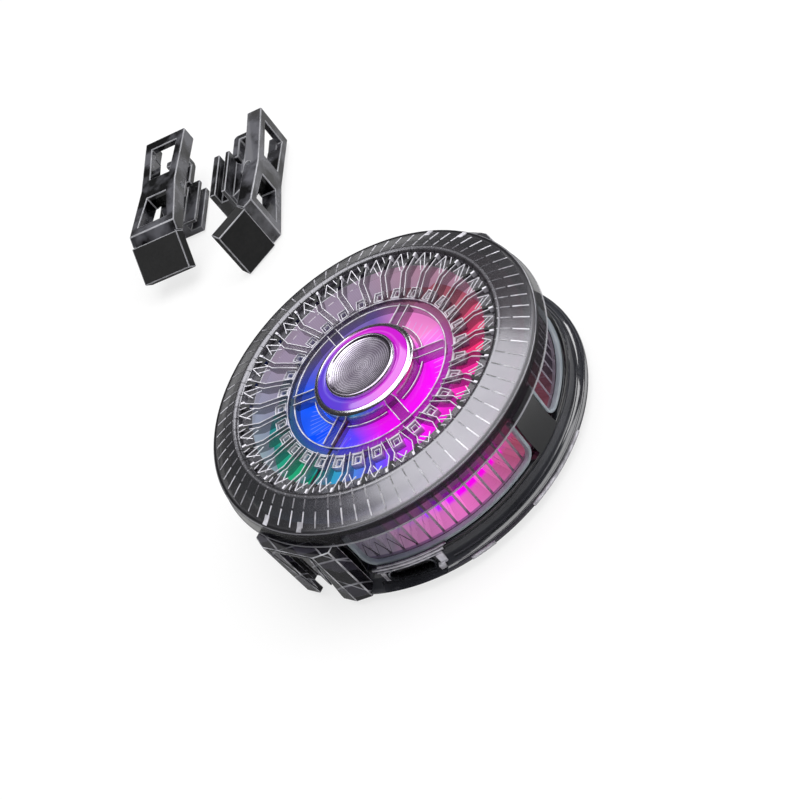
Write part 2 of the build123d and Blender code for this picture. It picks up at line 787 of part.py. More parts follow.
with BuildPart() as front_cover:
    with BuildSketch(Plane.XZ):
        Polygon(
            (wall_inner_radius + fit_gap, wall_top),
            (cover_foot_radius, wall_top),
            (cover_ridge_radius, cover_ridge_height),
            (cover_crest_radius, cover_crest_height),
            (cover_mouth_radius, cover_crest_height - cover_mouth_drop_height),
            (cover_mouth_radius, cover_crest_height - cover_mouth_drop_height - cover_wall_thickness),
            (cover_crest_radius, cover_crest_height - cover_wall_thickness),
            (cover_ridge_radius - cover_wall_thickness, cover_ridge_height - cover_wall_thickness / 2),
            (cover_foot_radius - cover_wall_thickness, wall_top + cover_ledge_thickness),
            (wall_inner_radius + fit_gap, wall_top + cover_ledge_thickness),
        )
    revolve(axis=Axis.Z)
    with BuildSketch(Plane.XY.offset(grille_ring_bottom)):
        Circle(grille_ring_outer_radius)
        Circle(grille_ring_inner_radius, mode=Mode.SUBTRACT)
    extrude(amount=grille_ring_top - grille_ring_bottom)
    with BuildSketch(Plane.XY.offset(vane_bottom)):
        for number in range(vane_count):
            Polygon(*vane(number * 360 / vane_count))
    extrude(amount=vane_top - vane_bottom)
    spoke_start = cup_radius - cup_wall_thickness / 2
    spoke_end = grille_ring_inner_radius + fit_gap
    with BuildSketch(Plane.XY.offset(spoke_bottom)):
        with PolarLocations((spoke_start + spoke_end) / 2, spoke_count):
            Rectangle(spoke_end - spoke_start, spoke_width)
    extrude(amount=spoke_top - spoke_bottom)
    with BuildSketch(Plane.XZ):
        Polygon(
            (0, cup_floor_bottom),
            (cup_radius - cup_wall_thickness, cup_floor_bottom),
            (cup_radius - cup_wall_thickness, cup_skirt_bottom),
            (cup_radius, cup_skirt_bottom),
            (cup_radius, cup_rim_height),
            (cup_radius - cup_wall_thickness, cup_rim_height),
            (cup_radius - cup_wall_thickness, cup_floor_top),
            (0, cup_floor_top),
        )
    revolve(axis=Axis.Z)
    hub_screw_places = [(hub_screw_circle, 0), (-hub_screw_circle, 0)]
    with BuildSketch(Plane.XY.offset(cup_floor_bottom)):
        with Locations(*hub_screw_places):
            Circle(screw_shank_radius + fit_gap / 2)
    extrude(amount=hub_screw_bite_depth + fit_gap, mode=Mode.SUBTRACT)
    with BuildSketch(Plane.XY.offset(wall_top)):
        for angle in tab_angles:
            with Locations(Location((0, 0), angle)):
                with Locations((tab_middle_radius, 0)):
                    Rectangle(tab_thickness + 4 * fit_gap, tab_width + 4 * fit_gap)
    extrude(amount=tab_height + fit_gap, mode=Mode.SUBTRACT)
keep(front_cover, "front_cover")

# Light ring in the cup, round the medallion
halo_ring = ring(halo_outer_radius, medallion_radius + fit_gap / 2, cup_seat, halo_top)
keep(halo_ring, "halo_ring")

# Medallion with a raised rim and fine round grooves
with BuildPart() as medallion:
    with BuildSketch(Plane.XY.offset(cup_seat)):
        Circle(medallion_radius)
    extrude(amount=medallion_top - cup_seat)
    recess_floor = medallion_top - medallion_recess_depth
    with BuildSketch(Plane.XY.offset(recess_floor)):
        Circle(medallion_radius - medallion_rim_width)
    extrude(amount=medallion_recess_depth + overrun, mode=Mode.SUBTRACT)
    with BuildSketch(Plane.XY.offset(recess_floor - medallion_groove_depth)):
        for number in range(1, medallion_groove_count + 1):
            groove_radius = number * medallion_groove_pitch
            Circle(groove_radius + medallion_groove_width / 2)
            Circle(groove_radius - medallion_groove_width / 2, mode=Mode.SUBTRACT)
    extrude(amount=medallion_groove_depth + overrun, mode=Mode.SUBTRACT)
keep(medallion, "medallion")

# Bright trim ring on the cup's rim
hub_trim = ring(
    cup_radius + trim_lip_width, cup_radius - cup_wall_thickness, cup_rim_height, cup_rim_height + trim_height
)
keep(hub_trim, "hub_trim")

# Hub light board, its lights and screws
hub_board_top = hub_board_bottom + hub_board_thickness
with BuildPart() as hub_board:
    with BuildSketch(Plane.XY.offset(hub_board_bottom)):
        Circle(hub_board_radius)
        with Locations(*hub_screw_places):
            Circle(screw_shank_radius + fit_gap, mode=Mode.SUBTRACT)
    extrude(amount=hub_board_thickness)
keep(hub_board, "hub_board")

with BuildPart() as hub_lights:
    with BuildSketch(Plane.XY.offset(hub_board_bottom - led_height)):
        with PolarLocations(led_circle, led_count, start_angle=180 / led_count):
            Rectangle(led_side, led_side)
    extrude(amount=led_height)
keep(hub_lights, "hub_lights")

hub_screws = screws(
    hub_screw_places, hub_board_bottom, screw_head_radius, screw_head_height,
    cup_floor_bottom + hub_screw_bite_depth,
)
keep(hub_screws, "hub_screws")

# Motor base with its bearing tube
with BuildPart() as motor_base:
    with BuildSketch(Plane.XY.offset(sink_top)):
        Circle(motor_base_radius)
    extrude(amount=motor_base_thickness)
    with BuildSketch(Plane.XY.offset(motor_seat)):
        Circle(bearing_tube_radius)
        Circle(bearing_tube_bore, mode=Mode.SUBTRACT)
    extrude(amount=tube_top - motor_seat)
keep(motor_base, "motor_base")

motor_board_top = motor_seat + motor_board_thickness
motor_board = ring(
    motor_board_radius, bearing_tube_radius + fit_gap, motor_seat, motor_board_top
)
keep(motor_board, "motor_board")

bearing_sleeve = ring(
    bearing_tube_bore - fit_gap / 2, shaft_radius + shaft_running_gap,
    motor_seat + sleeve_end_gap, tube_top - sleeve_end_gap,
)
keep(bearing_sleeve, "bearing_sleeve")

# Stator: a six-pole core and its coils
pole_angles = [number * 360 / stator_pole_count for number in range(stator_pole_count)]
with BuildPart() as stator_core:
    with BuildSketch(Plane.XY.offset(stator_bottom)):
        for angle in pole_angles:
            Polygon(*wedge(
                stator_outer_radius, angle - stator_shoe_half_angle,
                angle + stator_shoe_half_angle,
            ))
        Circle(shoe_inner_radius, mode=Mode.SUBTRACT)
        Circle(stator_outer_radius, mode=Mode.INTERSECT)
        Circle(stator_hub_radius)
        with PolarLocations((stator_hub_radius + shoe_inner_radius) / 2, stator_pole_count):
            Rectangle(shoe_inner_radius - stator_hub_radius + 2 * fit_gap, stator_pole_width)
        Circle(bearing_tube_radius + fit_gap, mode=Mode.SUBTRACT)
    extrude(amount=stator_height)
keep(stator_core, "stator_core")

winding_middle = (winding_inner_radius + winding_outer_radius) / 2
winding_length = winding_outer_radius - winding_inner_radius
with BuildPart() as stator_windings:
    with BuildSketch(Plane.XY.offset(stator_bottom - winding_width)):
        with PolarLocations(winding_middle, stator_pole_count):
            Rectangle(winding_length, stator_pole_width + 2 * winding_width)
    extrude(amount=stator_height + 2 * winding_width)
    with BuildSketch(Plane.XY.offset(stator_bottom)):
        with PolarLocations(winding_middle, stator_pole_count):
            Rectangle(winding_length + overrun, stator_pole_width)
    extrude(amount=stator_height, mode=Mode.SUBTRACT)
keep(stator_windings, "stator_windings")

# Rotor: shaft, steel cup, ring magnet and impeller
shaft_bottom = motor_seat + shaft_end_gap
shaft = ring(shaft_radius, 0, shaft_bottom, rotor_boss_top)
keep(shaft, "shaft")

with BuildPart() as rotor_cup:
    with BuildSketch(Plane.XZ):
        Polygon(
            (rotor_cup_inner, rotor_bottom),
            (rotor_cup_radius, rotor_bottom),
            (rotor_cup_radius, rotor_cup_top),
            (rotor_boss_radius, rotor_cup_top),
            (rotor_boss_radius, rotor_boss_top),
            (shaft_radius + pin_grip_gap, rotor_boss_top),
            (shaft_radius + pin_grip_gap, rotor_cup_top - cup_shell_thickness),
            (rotor_cup_inner, rotor_cup_top - cup_shell_thickness),
        )
    revolve(axis=Axis.Z)
keep(rotor_cup, "rotor_cup")

rotor_magnet = ring(
    magnet_outer_radius, magnet_inner_radius, rotor_bottom, rotor_bottom + magnet_height
)
keep(rotor_magnet, "rotor_magnet")

# One fan blade: a plate that flattens from root to tip
blade_root_radius = impeller_hub_radius - impeller_hub_wall_thickness / 2
with BuildPart() as blade:
    with BuildSketch(Plane(origin=(blade_root_radius, 0, blade_middle), x_dir=(0, 1, 0), z_dir=(1, 0, 0))):
        Rectangle(blade_root_chord, blade_thickness, rotation=blade_root_pitch)
    with BuildSketch(Plane(origin=(blade_tip_radius, 0, blade_middle), x_dir=(0, 1, 0), z_dir=(1, 0, 0))):
        Rectangle(blade_tip_chord, blade_thickness, rotation=blade_tip_pitch)
    loft(ruled=True)

with BuildPart() as impeller:
    with PolarLocations(0, blade_count):
        add(blade.part)
    with BuildSketch(Plane.XY.offset(rotor_bottom - overrun)):
        Circle(impeller_inner_radius + fit_gap)
    extrude(amount=impeller_top - rotor_bottom + 2 * overrun, mode=Mode.SUBTRACT)
    with BuildSketch(Plane.XZ):
        Polygon(
            (impeller_inner_radius, rotor_bottom),
            (impeller_hub_radius, rotor_bottom),
            (impeller_hub_radius, impeller_top - impeller_hub_fillet_radius),
            (impeller_hub_radius - impeller_hub_fillet_radius, impeller_top),
            (0, impeller_top),
            (0, rotor_boss_top),
            (rotor_boss_radius + fit_gap, rotor_boss_top),
            (rotor_boss_radius + fit_gap, rotor_cup_top),
            (impeller_inner_radius, rotor_cup_top),
        )
    revolve(axis=Axis.Z)
keep(impeller, "impeller")

# Main board: a ring in the base with a notch for the port, chips and screws
with BuildPart() as main_board:
    with BuildSketch(Plane.XY.offset(board_bottom)):
        Circle(board_outer_radius)
        Circle(board_inner_radius, mode=Mode.SUBTRACT)
        with Locations(*board_post_places):
            Circle(screw_shank_radius + fit_gap, mode=Mode.SUBTRACT)
        with Locations(Location((0, 0), port_angle)):
            Rectangle(
                board_outer_radius + overrun, port_width + 2 * fit_gap,
                align=(Align.MIN, Align.CENTER), mode=Mode.SUBTRACT,
            )
    extrude(amount=board_thickness)
keep(main_board, "main_board")

with BuildPart() as board_chips:
    with BuildSketch(Plane.XY.offset(board_top)):
        for angle in chip_angles:
            with Locations(Location((0, 0), angle)):
                with Locations((board_middle_radius, 0)):
                    Rectangle(chip_side, chip_side)
    extrude(amount=chip_height)
keep(board_chips, "board_chips")

with BuildPart() as board_screws:
    with BuildSketch(Plane.XY.offset(board_top)):
        with Locations(*board_post_places):
            Circle(board_screw_head_radius)
    extrude(amount=board_screw_head_height)
    with BuildSketch(Plane.XY.offset(board_top)):
        with Locations(*board_post_places):
            Circle(screw_shank_radius)
    extrude(amount=-(board_top - floor_top) - screw_bite_depth / 2 + fit_gap)
keep(board_screws, "board_screws")

# Charging port: drawn steel shell and its inner tongue
with BuildPart() as port_shell:
    with BuildSketch(port_plane.offset(-port_depth)):
        RectangleRounded(port_width, port_height, port_height / 2 - fit_gap / 2)
    extrude(amount=port_depth)
    with BuildSketch(port_plane.offset(-port_depth + port_back_wall_thickness)):
        RectangleRounded(
            port_width - 2 * port_wall_thickness, port_height - 2 * port_wall_thickness,
            port_height / 2 - port_wall_thickness - fit_gap / 2,
        )
    extrude(amount=port_depth, mode=Mode.SUBTRACT)
keep(port_shell, "port_shell")

with BuildPart() as port_tongue:
    with BuildSketch(port_plane.offset(-port_depth + port_back_wall_thickness)):
        Rectangle(port_tongue_width, port_tongue_thickness)
    extrude(amount=port_depth - port_back_wall_thickness - port_tongue_setback_depth)
keep(port_tongue, "port_tongue")


def wire(name, runs, radius):
    """Make wires of one node, each a tube along straight runs with round bends."""
    with BuildPart() as made:
        for points in runs:
            with BuildLine() as route:
                if len(points) > 2:
                    FilletPolyline(*points, radius=wire_bend_radius)
                else:
                    Line(*points)
            with BuildSketch(Plane(origin=route.line @ 0, z_dir=route.line % 0)):
                Circle(radius)
            sweep(path=route.line)
    keep(made, name)


def raised(point, height):
    """Return a flat point at a height."""
    return (*point, height)


fan_wire_height = motor_seat + fan_wire_lift_height
wire("fan_wires", [
    (
        raised(polar(motor_board_radius, angle), fan_wire_height),
        raised(polar(wire_drop_radius, angle), fan_wire_height),
        raised(polar(wire_drop_radius, angle), board_top),
    )
    for angle in fan_wire_angles
], wire_radius)

hub_wire_height = cup_skirt_bottom - hub_wire_drop_height
wire("hub_wires", [
    (
        raised(polar(hub_board_radius - hub_wire_edge_width, hub_wire_angle), hub_board_bottom),
        raised(polar(hub_board_radius - hub_wire_edge_width, hub_wire_angle), hub_wire_height),
        raised(polar(wire_drop_radius, hub_wire_angle), hub_wire_height),
        raised(polar(wire_drop_radius, hub_wire_angle), board_top),
    )
], wire_radius)

module_wire_height = (pellets_bottom + pellets_top) / 2
module_along = polar(1, module_wire_angle)
module_across = polar(1, module_wire_angle + 90)
module_wire_runs = []
for side in (1, -1):
    offset = side * module_wire_spacing / 2
    start_reach = module_side / 2 / max(abs(module_along[0]), abs(module_along[1]))
    near, far = [
        (
            reach * module_along[0] + offset * module_across[0],
            reach * module_along[1] + offset * module_across[1],
            module_wire_height,
        )
        for reach in (start_reach, board_inner_radius)
    ]
    module_wire_runs.append((near, far))
wire("module_wires", module_wire_runs, module_wire_radius)


def clip_planes(place, height, outward):
    """Return a clip's side plane, with x outward and y up it, and its face plane."""
    up = Vector(*polar(1, clip_heading), 0)
    out = Vector(*outward)
    origin = Vector(*place, height)
    side = Plane(origin=origin, x_dir=out, z_dir=out.cross(up))
    face = Plane(origin=origin, x_dir=up.cross(out), z_dir=out)
    return side, face


def slab(plane, outlines, start, end, mode=Mode.ADD):
    """Extrude outlines from one offset of a plane to another."""
    with BuildSketch(plane.offset(start)) as flat:
        for corners in outlines:
            Polygon(*corners)
    extrude(flat.sketch, amount=end - start, mode=mode)


def box_outline(left, right, bottom, top):
    """Return the corners of an upright rectangle."""
    return [(left, bottom), (right, bottom), (right, top), (left, top)]


def foot_outline(start, end, low, high):
    """Return a slanted band along the foot, low and high measured inward."""
    turn = math.radians(foot_angle)
    along = (-math.cos(turn), -math.sin(turn))
    inward = (-math.sin(turn), math.cos(turn))
    heel = (lever_half_depth, clip_bottom_height)
    return [
        (
            heel[0] + reach * along[0] + depth * inward[0],
            heel[1] + reach * along[1] + depth * inward[1],
        )
        for reach, depth in ((start, low), (end, low), (end, high), (start, high))
    ]


def clip(prefix, place, height, outward):
    """Make the six pieces of one clip about its own planes."""
    side, face = clip_planes(place, height, outward)
    plate_back = plate_face_offset - plate_thickness
    neck_back = plate_back - neck_length
    tongue_back = neck_back - tongue_thickness
    coil_seat = web_half_thickness - spring_pitch * spring_turns - 2 * spring_wire_diameter
    pad_start = foot_core_thickness + pad_cover_thickness + 2 * fit_gap
    heel_end, heel_inner = foot_outline(0, pad_start, 0, foot_core_thickness)[1:3]

    with BuildPart() as lever:
        slab(face, [[
            (-lever_foot_half_width, clip_bottom_height), (lever_foot_half_width, clip_bottom_height),
            (lever_waist_half_width, 0), (lever_top_half_width, clip_top_height),
            (-lever_top_half_width, clip_top_height), (-lever_waist_half_width, 0),
        ]], -lever_half_depth, lever_half_depth)
        slab(face, [
            [
                (-lever_waist_half_width + lever_rail_width, lever_waist_half_height),
                (lever_waist_half_width - lever_rail_width, lever_waist_half_height),
                (lever_top_half_width - lever_rail_width, clip_top_height - lever_top_bar_height),
                (-lever_top_half_width + lever_rail_width, clip_top_height - lever_top_bar_height),
            ],
            [
                (-lever_foot_half_width + lever_rail_width, clip_bottom_height + lever_bottom_bar_height),
                (lever_foot_half_width - lever_rail_width, clip_bottom_height + lever_bottom_bar_height),
                (lever_waist_half_width - lever_rail_width, -lever_waist_half_height),
                (-lever_waist_half_width + lever_rail_width, -lever_waist_half_height),
            ],
        ], -lever_half_depth, lever_half_depth, Mode.SUBTRACT)
        slab(face, [box_outline(
            -lever_top_half_width + lever_rail_width, lever_top_half_width - lever_rail_width,
            clip_top_height - lever_top_bar_height - overrun, clip_top_height + overrun,
        )], -lever_half_depth, lever_half_depth - lever_bar_thickness, Mode.SUBTRACT)
        lug_inner = -lever_half_depth - lever_lug_depth
        slab(side, [box_outline(
            lug_inner, -lever_half_depth, -lever_lug_half_height, lever_lug_half_height,
        )], -lever_waist_half_width, lever_waist_half_width)
        slab(side, [foot_outline(0, foot_length, 0, foot_core_thickness)],
             -lever_foot_half_width + foot_edge_width, lever_foot_half_width - foot_edge_width)
        slab(side, [[
            (lever_half_depth, clip_bottom_height),
            (-lever_half_depth, clip_bottom_height),
            heel_inner,
            heel_end,
        ]], -lever_foot_half_width, lever_foot_half_width)
        slab(face, [box_outline(
            -lever_slot_half_width, lever_slot_half_width,
            -lever_waist_half_height - overrun, lever_waist_half_height + overrun,
        )], lug_inner - overrun, pin_offset + lever_slot_depth, Mode.SUBTRACT)
        with BuildSketch(side.offset(-lever_foot_half_width)):
            with Locations((pin_offset, 0)):
                Circle(pin_radius + pin_running_gap)
        extrude(amount=2 * lever_foot_half_width, mode=Mode.SUBTRACT)
    keep(lever, f"{prefix}_lever")

    with BuildPart() as foot_pad:
        slab(side, [foot_outline(
            pad_start + fit_gap, foot_length + pad_cover_thickness,
            -pad_cover_thickness, foot_core_thickness + pad_cover_thickness,
        )], -lever_foot_half_width, lever_foot_half_width)
        slab(side, [foot_outline(0, foot_length, 0, foot_core_thickness)],
             -lever_foot_half_width + foot_edge_width, lever_foot_half_width - foot_edge_width, Mode.SUBTRACT)
    keep(foot_pad, f"{prefix}_foot_pad")

    with BuildPart() as bracket:
        slab(side, [[
            (pin_offset, -web_eye_radius), (pin_offset, web_eye_radius),
            (plate_face_offset, web_root_half_height), (plate_face_offset, -web_root_half_height),
        ]], -web_half_thickness, web_half_thickness)
        with BuildSketch(side.offset(-web_half_thickness)):
            with Locations((pin_offset, 0)):
                Circle(web_eye_radius)
        extrude(amount=2 * web_half_thickness)
        slab(side, [box_outline(
            plate_back, plate_face_offset, -tongue_height / 2, tongue_height / 2,
        )], -tongue_width / 2, tongue_width / 2)
        slab(side, [box_outline(
            neck_back, plate_back, -tongue_height / 2, tongue_height / 2,
        )], -neck_width / 2, neck_width / 2)
        slab(side, [box_outline(
            tongue_back, neck_back, -tongue_height / 2, tongue_height / 2,
        )], -tongue_width / 2, tongue_width / 2)
        coil_room = pin_offset - web_eye_radius - 2 * fit_gap
        slab(side, [box_outline(
            coil_room, overrun, -web_root_half_height, web_root_half_height,
        )], coil_seat, web_half_thickness + overrun, Mode.SUBTRACT)
        with BuildSketch(side.offset(-lever_foot_half_width)):
            with Locations((pin_offset, 0)):
                Circle(pin_radius + pin_grip_gap)
        extrude(amount=2 * lever_foot_half_width, mode=Mode.SUBTRACT)
    keep(bracket, f"{prefix}_bracket")

    with BuildPart() as loop:
        slab(side, [[
            (plate_back, tongue_height / 2),
            (plate_face_offset + loop_leg_width / 2, tongue_height / 2),
            (plate_face_offset + loop_leg_width / 2, loop_top - loop_bar_thickness),
            (loop_end_offset, loop_top - loop_bar_thickness),
            (loop_end_offset, loop_top),
            (plate_back + loop_leg_width / 2, loop_top),
            (plate_back, loop_top - loop_leg_width / 2),
        ]], -loop_half_width, loop_half_width)
    keep(loop, f"{prefix}_loop")

    with BuildPart() as hinge_pin:
        with BuildSketch(side.offset(-lever_waist_half_width)):
            with Locations((pin_offset, 0)):
                Circle(pin_radius)
        extrude(amount=2 * lever_waist_half_width)
    keep(hinge_pin, f"{prefix}_hinge_pin")

    coil_start = coil_seat + spring_wire_diameter
    coil_origin = side.from_local_coords((pin_offset, 0, coil_start))
    coil_plane = Plane(origin=coil_origin, x_dir=side.x_dir, z_dir=side.z_dir)
    turns = coil_plane * Helix(
        spring_pitch, spring_pitch * spring_turns, spring_coil_radius, lefthand=True
    )
    with BuildPart() as spring:
        with BuildLine() as coil:
            Line(turns @ 0 - spring_leg_length * (turns % 0), turns @ 0)
            add(turns)
            Line(turns @ 1, turns @ 1 + spring_back_leg_length * (turns % 1))
        with BuildSketch(Plane(origin=coil.line @ 0, z_dir=coil.line % 0)):
            Circle(spring_wire_diameter / 2)
        sweep(path=coil.line)
    keep(spring, f"{prefix}_spring")


clip_tongue_reach = -plate_face_offset + plate_thickness + neck_length + tongue_thickness
clip("left", left_clip_place, clip_tongue_reach, (0, 0, 1))
clip("right", right_clip_place, lever_foot_half_width, (*polar(1, clip_heading - 90), 0))
print("spring coil gap to itself", round(spring_pitch - spring_wire_diameter, 3), "mm")
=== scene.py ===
# %% [markdown]
# # A clip-on cooling fan for a phone
#
# The cooler is a flat drum. A fan blows over a radial heat sink, under a clear smoked cover with a
# grille of bent vanes, and lights in the hub colour the blades and fins. Two spring clips lie behind it.
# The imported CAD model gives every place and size. This file adds finishes and finer pieces on that frame,
# in millimetres that become metres as each mesh is written.

# %% Frame
import json
import math

import bmesh
import bpy
import numpy as np
from mathutils import Matrix, Vector

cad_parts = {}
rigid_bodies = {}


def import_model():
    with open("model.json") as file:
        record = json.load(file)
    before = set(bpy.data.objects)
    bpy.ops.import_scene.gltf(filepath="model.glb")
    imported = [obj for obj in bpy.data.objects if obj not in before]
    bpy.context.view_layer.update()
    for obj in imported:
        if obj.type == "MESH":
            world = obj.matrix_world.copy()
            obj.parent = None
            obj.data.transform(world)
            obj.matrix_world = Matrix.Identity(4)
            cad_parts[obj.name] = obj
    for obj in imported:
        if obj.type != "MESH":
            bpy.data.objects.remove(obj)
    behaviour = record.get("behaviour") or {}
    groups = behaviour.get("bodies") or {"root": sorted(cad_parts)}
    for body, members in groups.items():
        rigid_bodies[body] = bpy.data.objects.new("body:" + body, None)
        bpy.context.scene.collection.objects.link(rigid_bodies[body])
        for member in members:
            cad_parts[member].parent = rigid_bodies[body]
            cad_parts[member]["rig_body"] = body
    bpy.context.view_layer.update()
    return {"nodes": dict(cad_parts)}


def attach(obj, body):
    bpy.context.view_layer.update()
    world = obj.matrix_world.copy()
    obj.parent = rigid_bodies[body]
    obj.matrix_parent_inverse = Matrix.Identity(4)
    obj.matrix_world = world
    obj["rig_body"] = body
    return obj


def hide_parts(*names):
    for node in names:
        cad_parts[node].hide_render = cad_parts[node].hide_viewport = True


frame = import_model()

MM = 0.001
FULL_TURN = 360.0


def placed(name, data):
    """A new object of the scene for a mesh, a camera or a lamp."""
    made = bpy.data.objects.new(name, data)
    bpy.context.scene.collection.objects.link(made)
    return made


# %% [markdown]
# ## Camera
#
# The photograph looks down on the drum from the side of the charging socket, with the camera rolled so that
# the drum leans. Its place and lens come from the ellipses that the rims draw in the photograph. A camera's
# own axes are right, up and back, so its matrix is built from those three.

# %% Camera
view_azimuth, view_elevation, view_roll = math.radians(-30.0), math.radians(42.08), math.radians(-41.24)
view_distance = 0.300

back = Vector((
    math.sin(view_azimuth) * math.cos(view_elevation),
    -math.cos(view_azimuth) * math.cos(view_elevation),
    math.sin(view_elevation),
))
level_right = Vector((math.cos(view_azimuth), math.sin(view_azimuth), 0.0))
level_up = back.cross(level_right)
right = math.cos(view_roll) * level_right + math.sin(view_roll) * level_up
up = -math.sin(view_roll) * level_right + math.cos(view_roll) * level_up

camera_data = bpy.data.cameras.new("photo_camera")
camera_data.lens = 74.28
camera_data.sensor_width = 36.0
camera_data.shift_x = -0.0269
camera_data.shift_y = 0.0445
camera_data.clip_start = 0.01
camera = placed("photo_camera", camera_data)
camera.matrix_world = Matrix([
    *[(right[k], up[k], back[k], back[k] * view_distance) for k in range(3)],
    (0, 0, 0, 1),
])
bpy.context.scene.camera = camera
bpy.context.scene.view_settings.view_transform = "Standard"
print("camera at", [round(x, 3) for x in camera.location])

# %% [markdown]
# ## Shader maths
#
# A finish is a small graph of nodes. Written node by node it is long and hard to read, so one class wraps an
# output socket and overloads the arithmetic operators. `1 - mask` then adds a Math node by itself.

# %% Socket arithmetic
class Field:
    """One output socket. Arithmetic on it adds Math nodes to the same tree."""

    def __init__(self, tree, socket):
        self.tree, self.socket = tree, socket

    def calc(self, operation, *values):
        """One Math node. Each value is a number or another socket."""
        return add(self.tree, "ShaderNodeMath", {"operation": operation}, values)

    def __add__(self, other):
        return self.calc("ADD", self, other)

    def __radd__(self, other):
        return self.calc("ADD", other, self)

    def __sub__(self, other):
        return self.calc("SUBTRACT", self, other)

    def __rsub__(self, other):
        return self.calc("SUBTRACT", other, self)

    def __mul__(self, other):
        return self.calc("MULTIPLY", self, other)

    def __rmul__(self, other):
        return self.calc("MULTIPLY", other, self)

    def __truediv__(self, other):
        return self.calc("DIVIDE", self, other)

    def fract(self):
        return self.calc("FRACT", self)

    def sine(self):
        return self.calc("SINE", self)

    def above(self, edge, softness):
        """0 below the edge, 1 above it, straight in between over the softness."""
        return self.ramp(edge - softness / 2, edge + softness / 2)

    def ramp(self, low, high):
        """0 at low and 1 at high, held outside."""
        return add(self.tree, "ShaderNodeMapRange", {"clamp": True},
                   {"Value": self, "From Min": low, "From Max": high})


def add(tree, kind, settings=None, inputs=(), output=0):
    """Adds a node with its settings, then its socket values or links, and returns an output."""
    node = tree.nodes.new(kind)
    for name, value in (settings or {}).items():
        if name == "stops":
            ramp = node.color_ramp
            for k, (place, colour) in enumerate(value):
                stop = ramp.elements[k] if k < 2 else ramp.elements.new(place)
                stop.position, stop.color = place, (*colour, 1.0)
        else:
            setattr(node, name, value)
    for name, value in inputs.items() if isinstance(inputs, dict) else enumerate(inputs):
        feed(node.inputs[name], value)
    return Field(tree, node.outputs[output])


def feed(socket, value):
    """Links a Field to an input socket, or sets its value there. A colour gets its fourth number."""
    if isinstance(value, Field):
        value.tree.links.new(value.socket, socket)
    elif socket.type == "RGBA":
        socket.default_value = (*value, 1.0)
    else:
        socket.default_value = value


def only(tree, kind):
    """The one node of that type which a new tree starts with."""
    return next(node for node in tree.nodes if node.type == kind)


def tone(red, green, blue):
    """A screen colour of 0 to 255 as the linear light that the shader wants."""
    parts = np.array([red, green, blue], float) / 255
    return tuple(np.where(parts <= 0.04045, parts / 12.92, ((parts + 0.055) / 1.055) ** 2.4).tolist())


def mix(tree, factor, first, second):
    """First colour where the factor is 0, second where it is 1."""
    return add(tree, "ShaderNodeMix", {"data_type": "RGBA", "clamp_factor": True},
               {0: factor, 6: first, 7: second}, output=2)


def ramp_of(tree, stops, factor):
    """The colour that the stops give at a factor of 0 to 1."""
    return add(tree, "ShaderNodeValToRGB", {"stops": stops}, [factor])


# %% [markdown]
# ## Where on the object
#
# Every node of the frame sits at the origin, so Object coordinates are the object's own millimetres.
# From them come the height, the distance from the fan's axis and the angle round it, which most finishes use.

# %% Places and grain
class Place:
    """Height and radius in mm and turn from 0 to 1 about a centre, and the raw coordinate."""

    def __init__(self, tree, centre=(0.0, 0.0)):
        self.tree = tree
        self.point = add(tree, "ShaderNodeTexCoord", output="Object")
        x, y, z = [
            add(tree, "ShaderNodeSeparateXYZ", {}, [self.point], output=axis) / MM for axis in range(3)
        ]
        self.x, self.y, self.height = x - centre[0], y - centre[1], z
        self.radius = self.x.calc("SQRT", self.x * self.x + self.y * self.y)
        self.turn = (1 + self.x.calc("ARCTAN2", self.y, self.x) / math.tau).fract()

    def noise(self, size, detail=2.0):
        """Soft noise whose blobs are about size mm across."""
        return add(self.tree, "ShaderNodeTexNoise", {}, {
            "Vector": self.point, "Scale": 1 / (size * MM), "Detail": detail})


def finish(name, build, **constants):
    """Makes a material: build(tree, place) returns the varying inputs, constants go on the sockets."""
    material = bpy.data.materials.new(name)
    material.use_nodes = True
    tree = material.node_tree
    surface = only(tree, "BSDF_PRINCIPLED")
    for socket, value in constants.items():
        feed(surface.inputs[socket.replace("_", " ")], value)
    for socket, value in build(tree, Place(tree)).items():
        if socket == "Bump":
            height, depth = value
            value = add(tree, "ShaderNodeBump", {}, {
                "Height": height, "Distance": depth * MM, "Strength": 1.0,
            })
            socket = "Normal"
        feed(surface.inputs[socket], value)
    print("finish", name, "of", len(tree.nodes), "nodes")
    return material


# %% [markdown]
# ## The light's colours
#
# The hub's lights each have their own colour, so colour runs round the drum: blue on the left, green below,
# magenta towards the camera, red and pink on the right, and grey where little light falls. A few named tones
# do for all of it. Each ramp runs once round the fan's axis, from 0 to 1: one holds the colours near the hub,
# one those between the vanes, one those at the fins' outer ends and one those of the light ring.

# %% Palettes
blue, sky, violet, lilac = tone(0, 85, 240), tone(55, 150, 215), tone(105, 70, 245), tone(112, 90, 172)
green, teal, magenta, red = tone(0, 160, 105), tone(0, 120, 125), tone(240, 0, 240), tone(238, 30, 110)
rose, wine, dusk, shade = tone(230, 125, 200), tone(150, 75, 90), tone(112, 106, 118), tone(52, 46, 54)
unlit = (0.02, 0.02, 0.025)
black = (0.0, 0.0, 0.0)
LAMP_CENTRE = (1.7, 2.9)

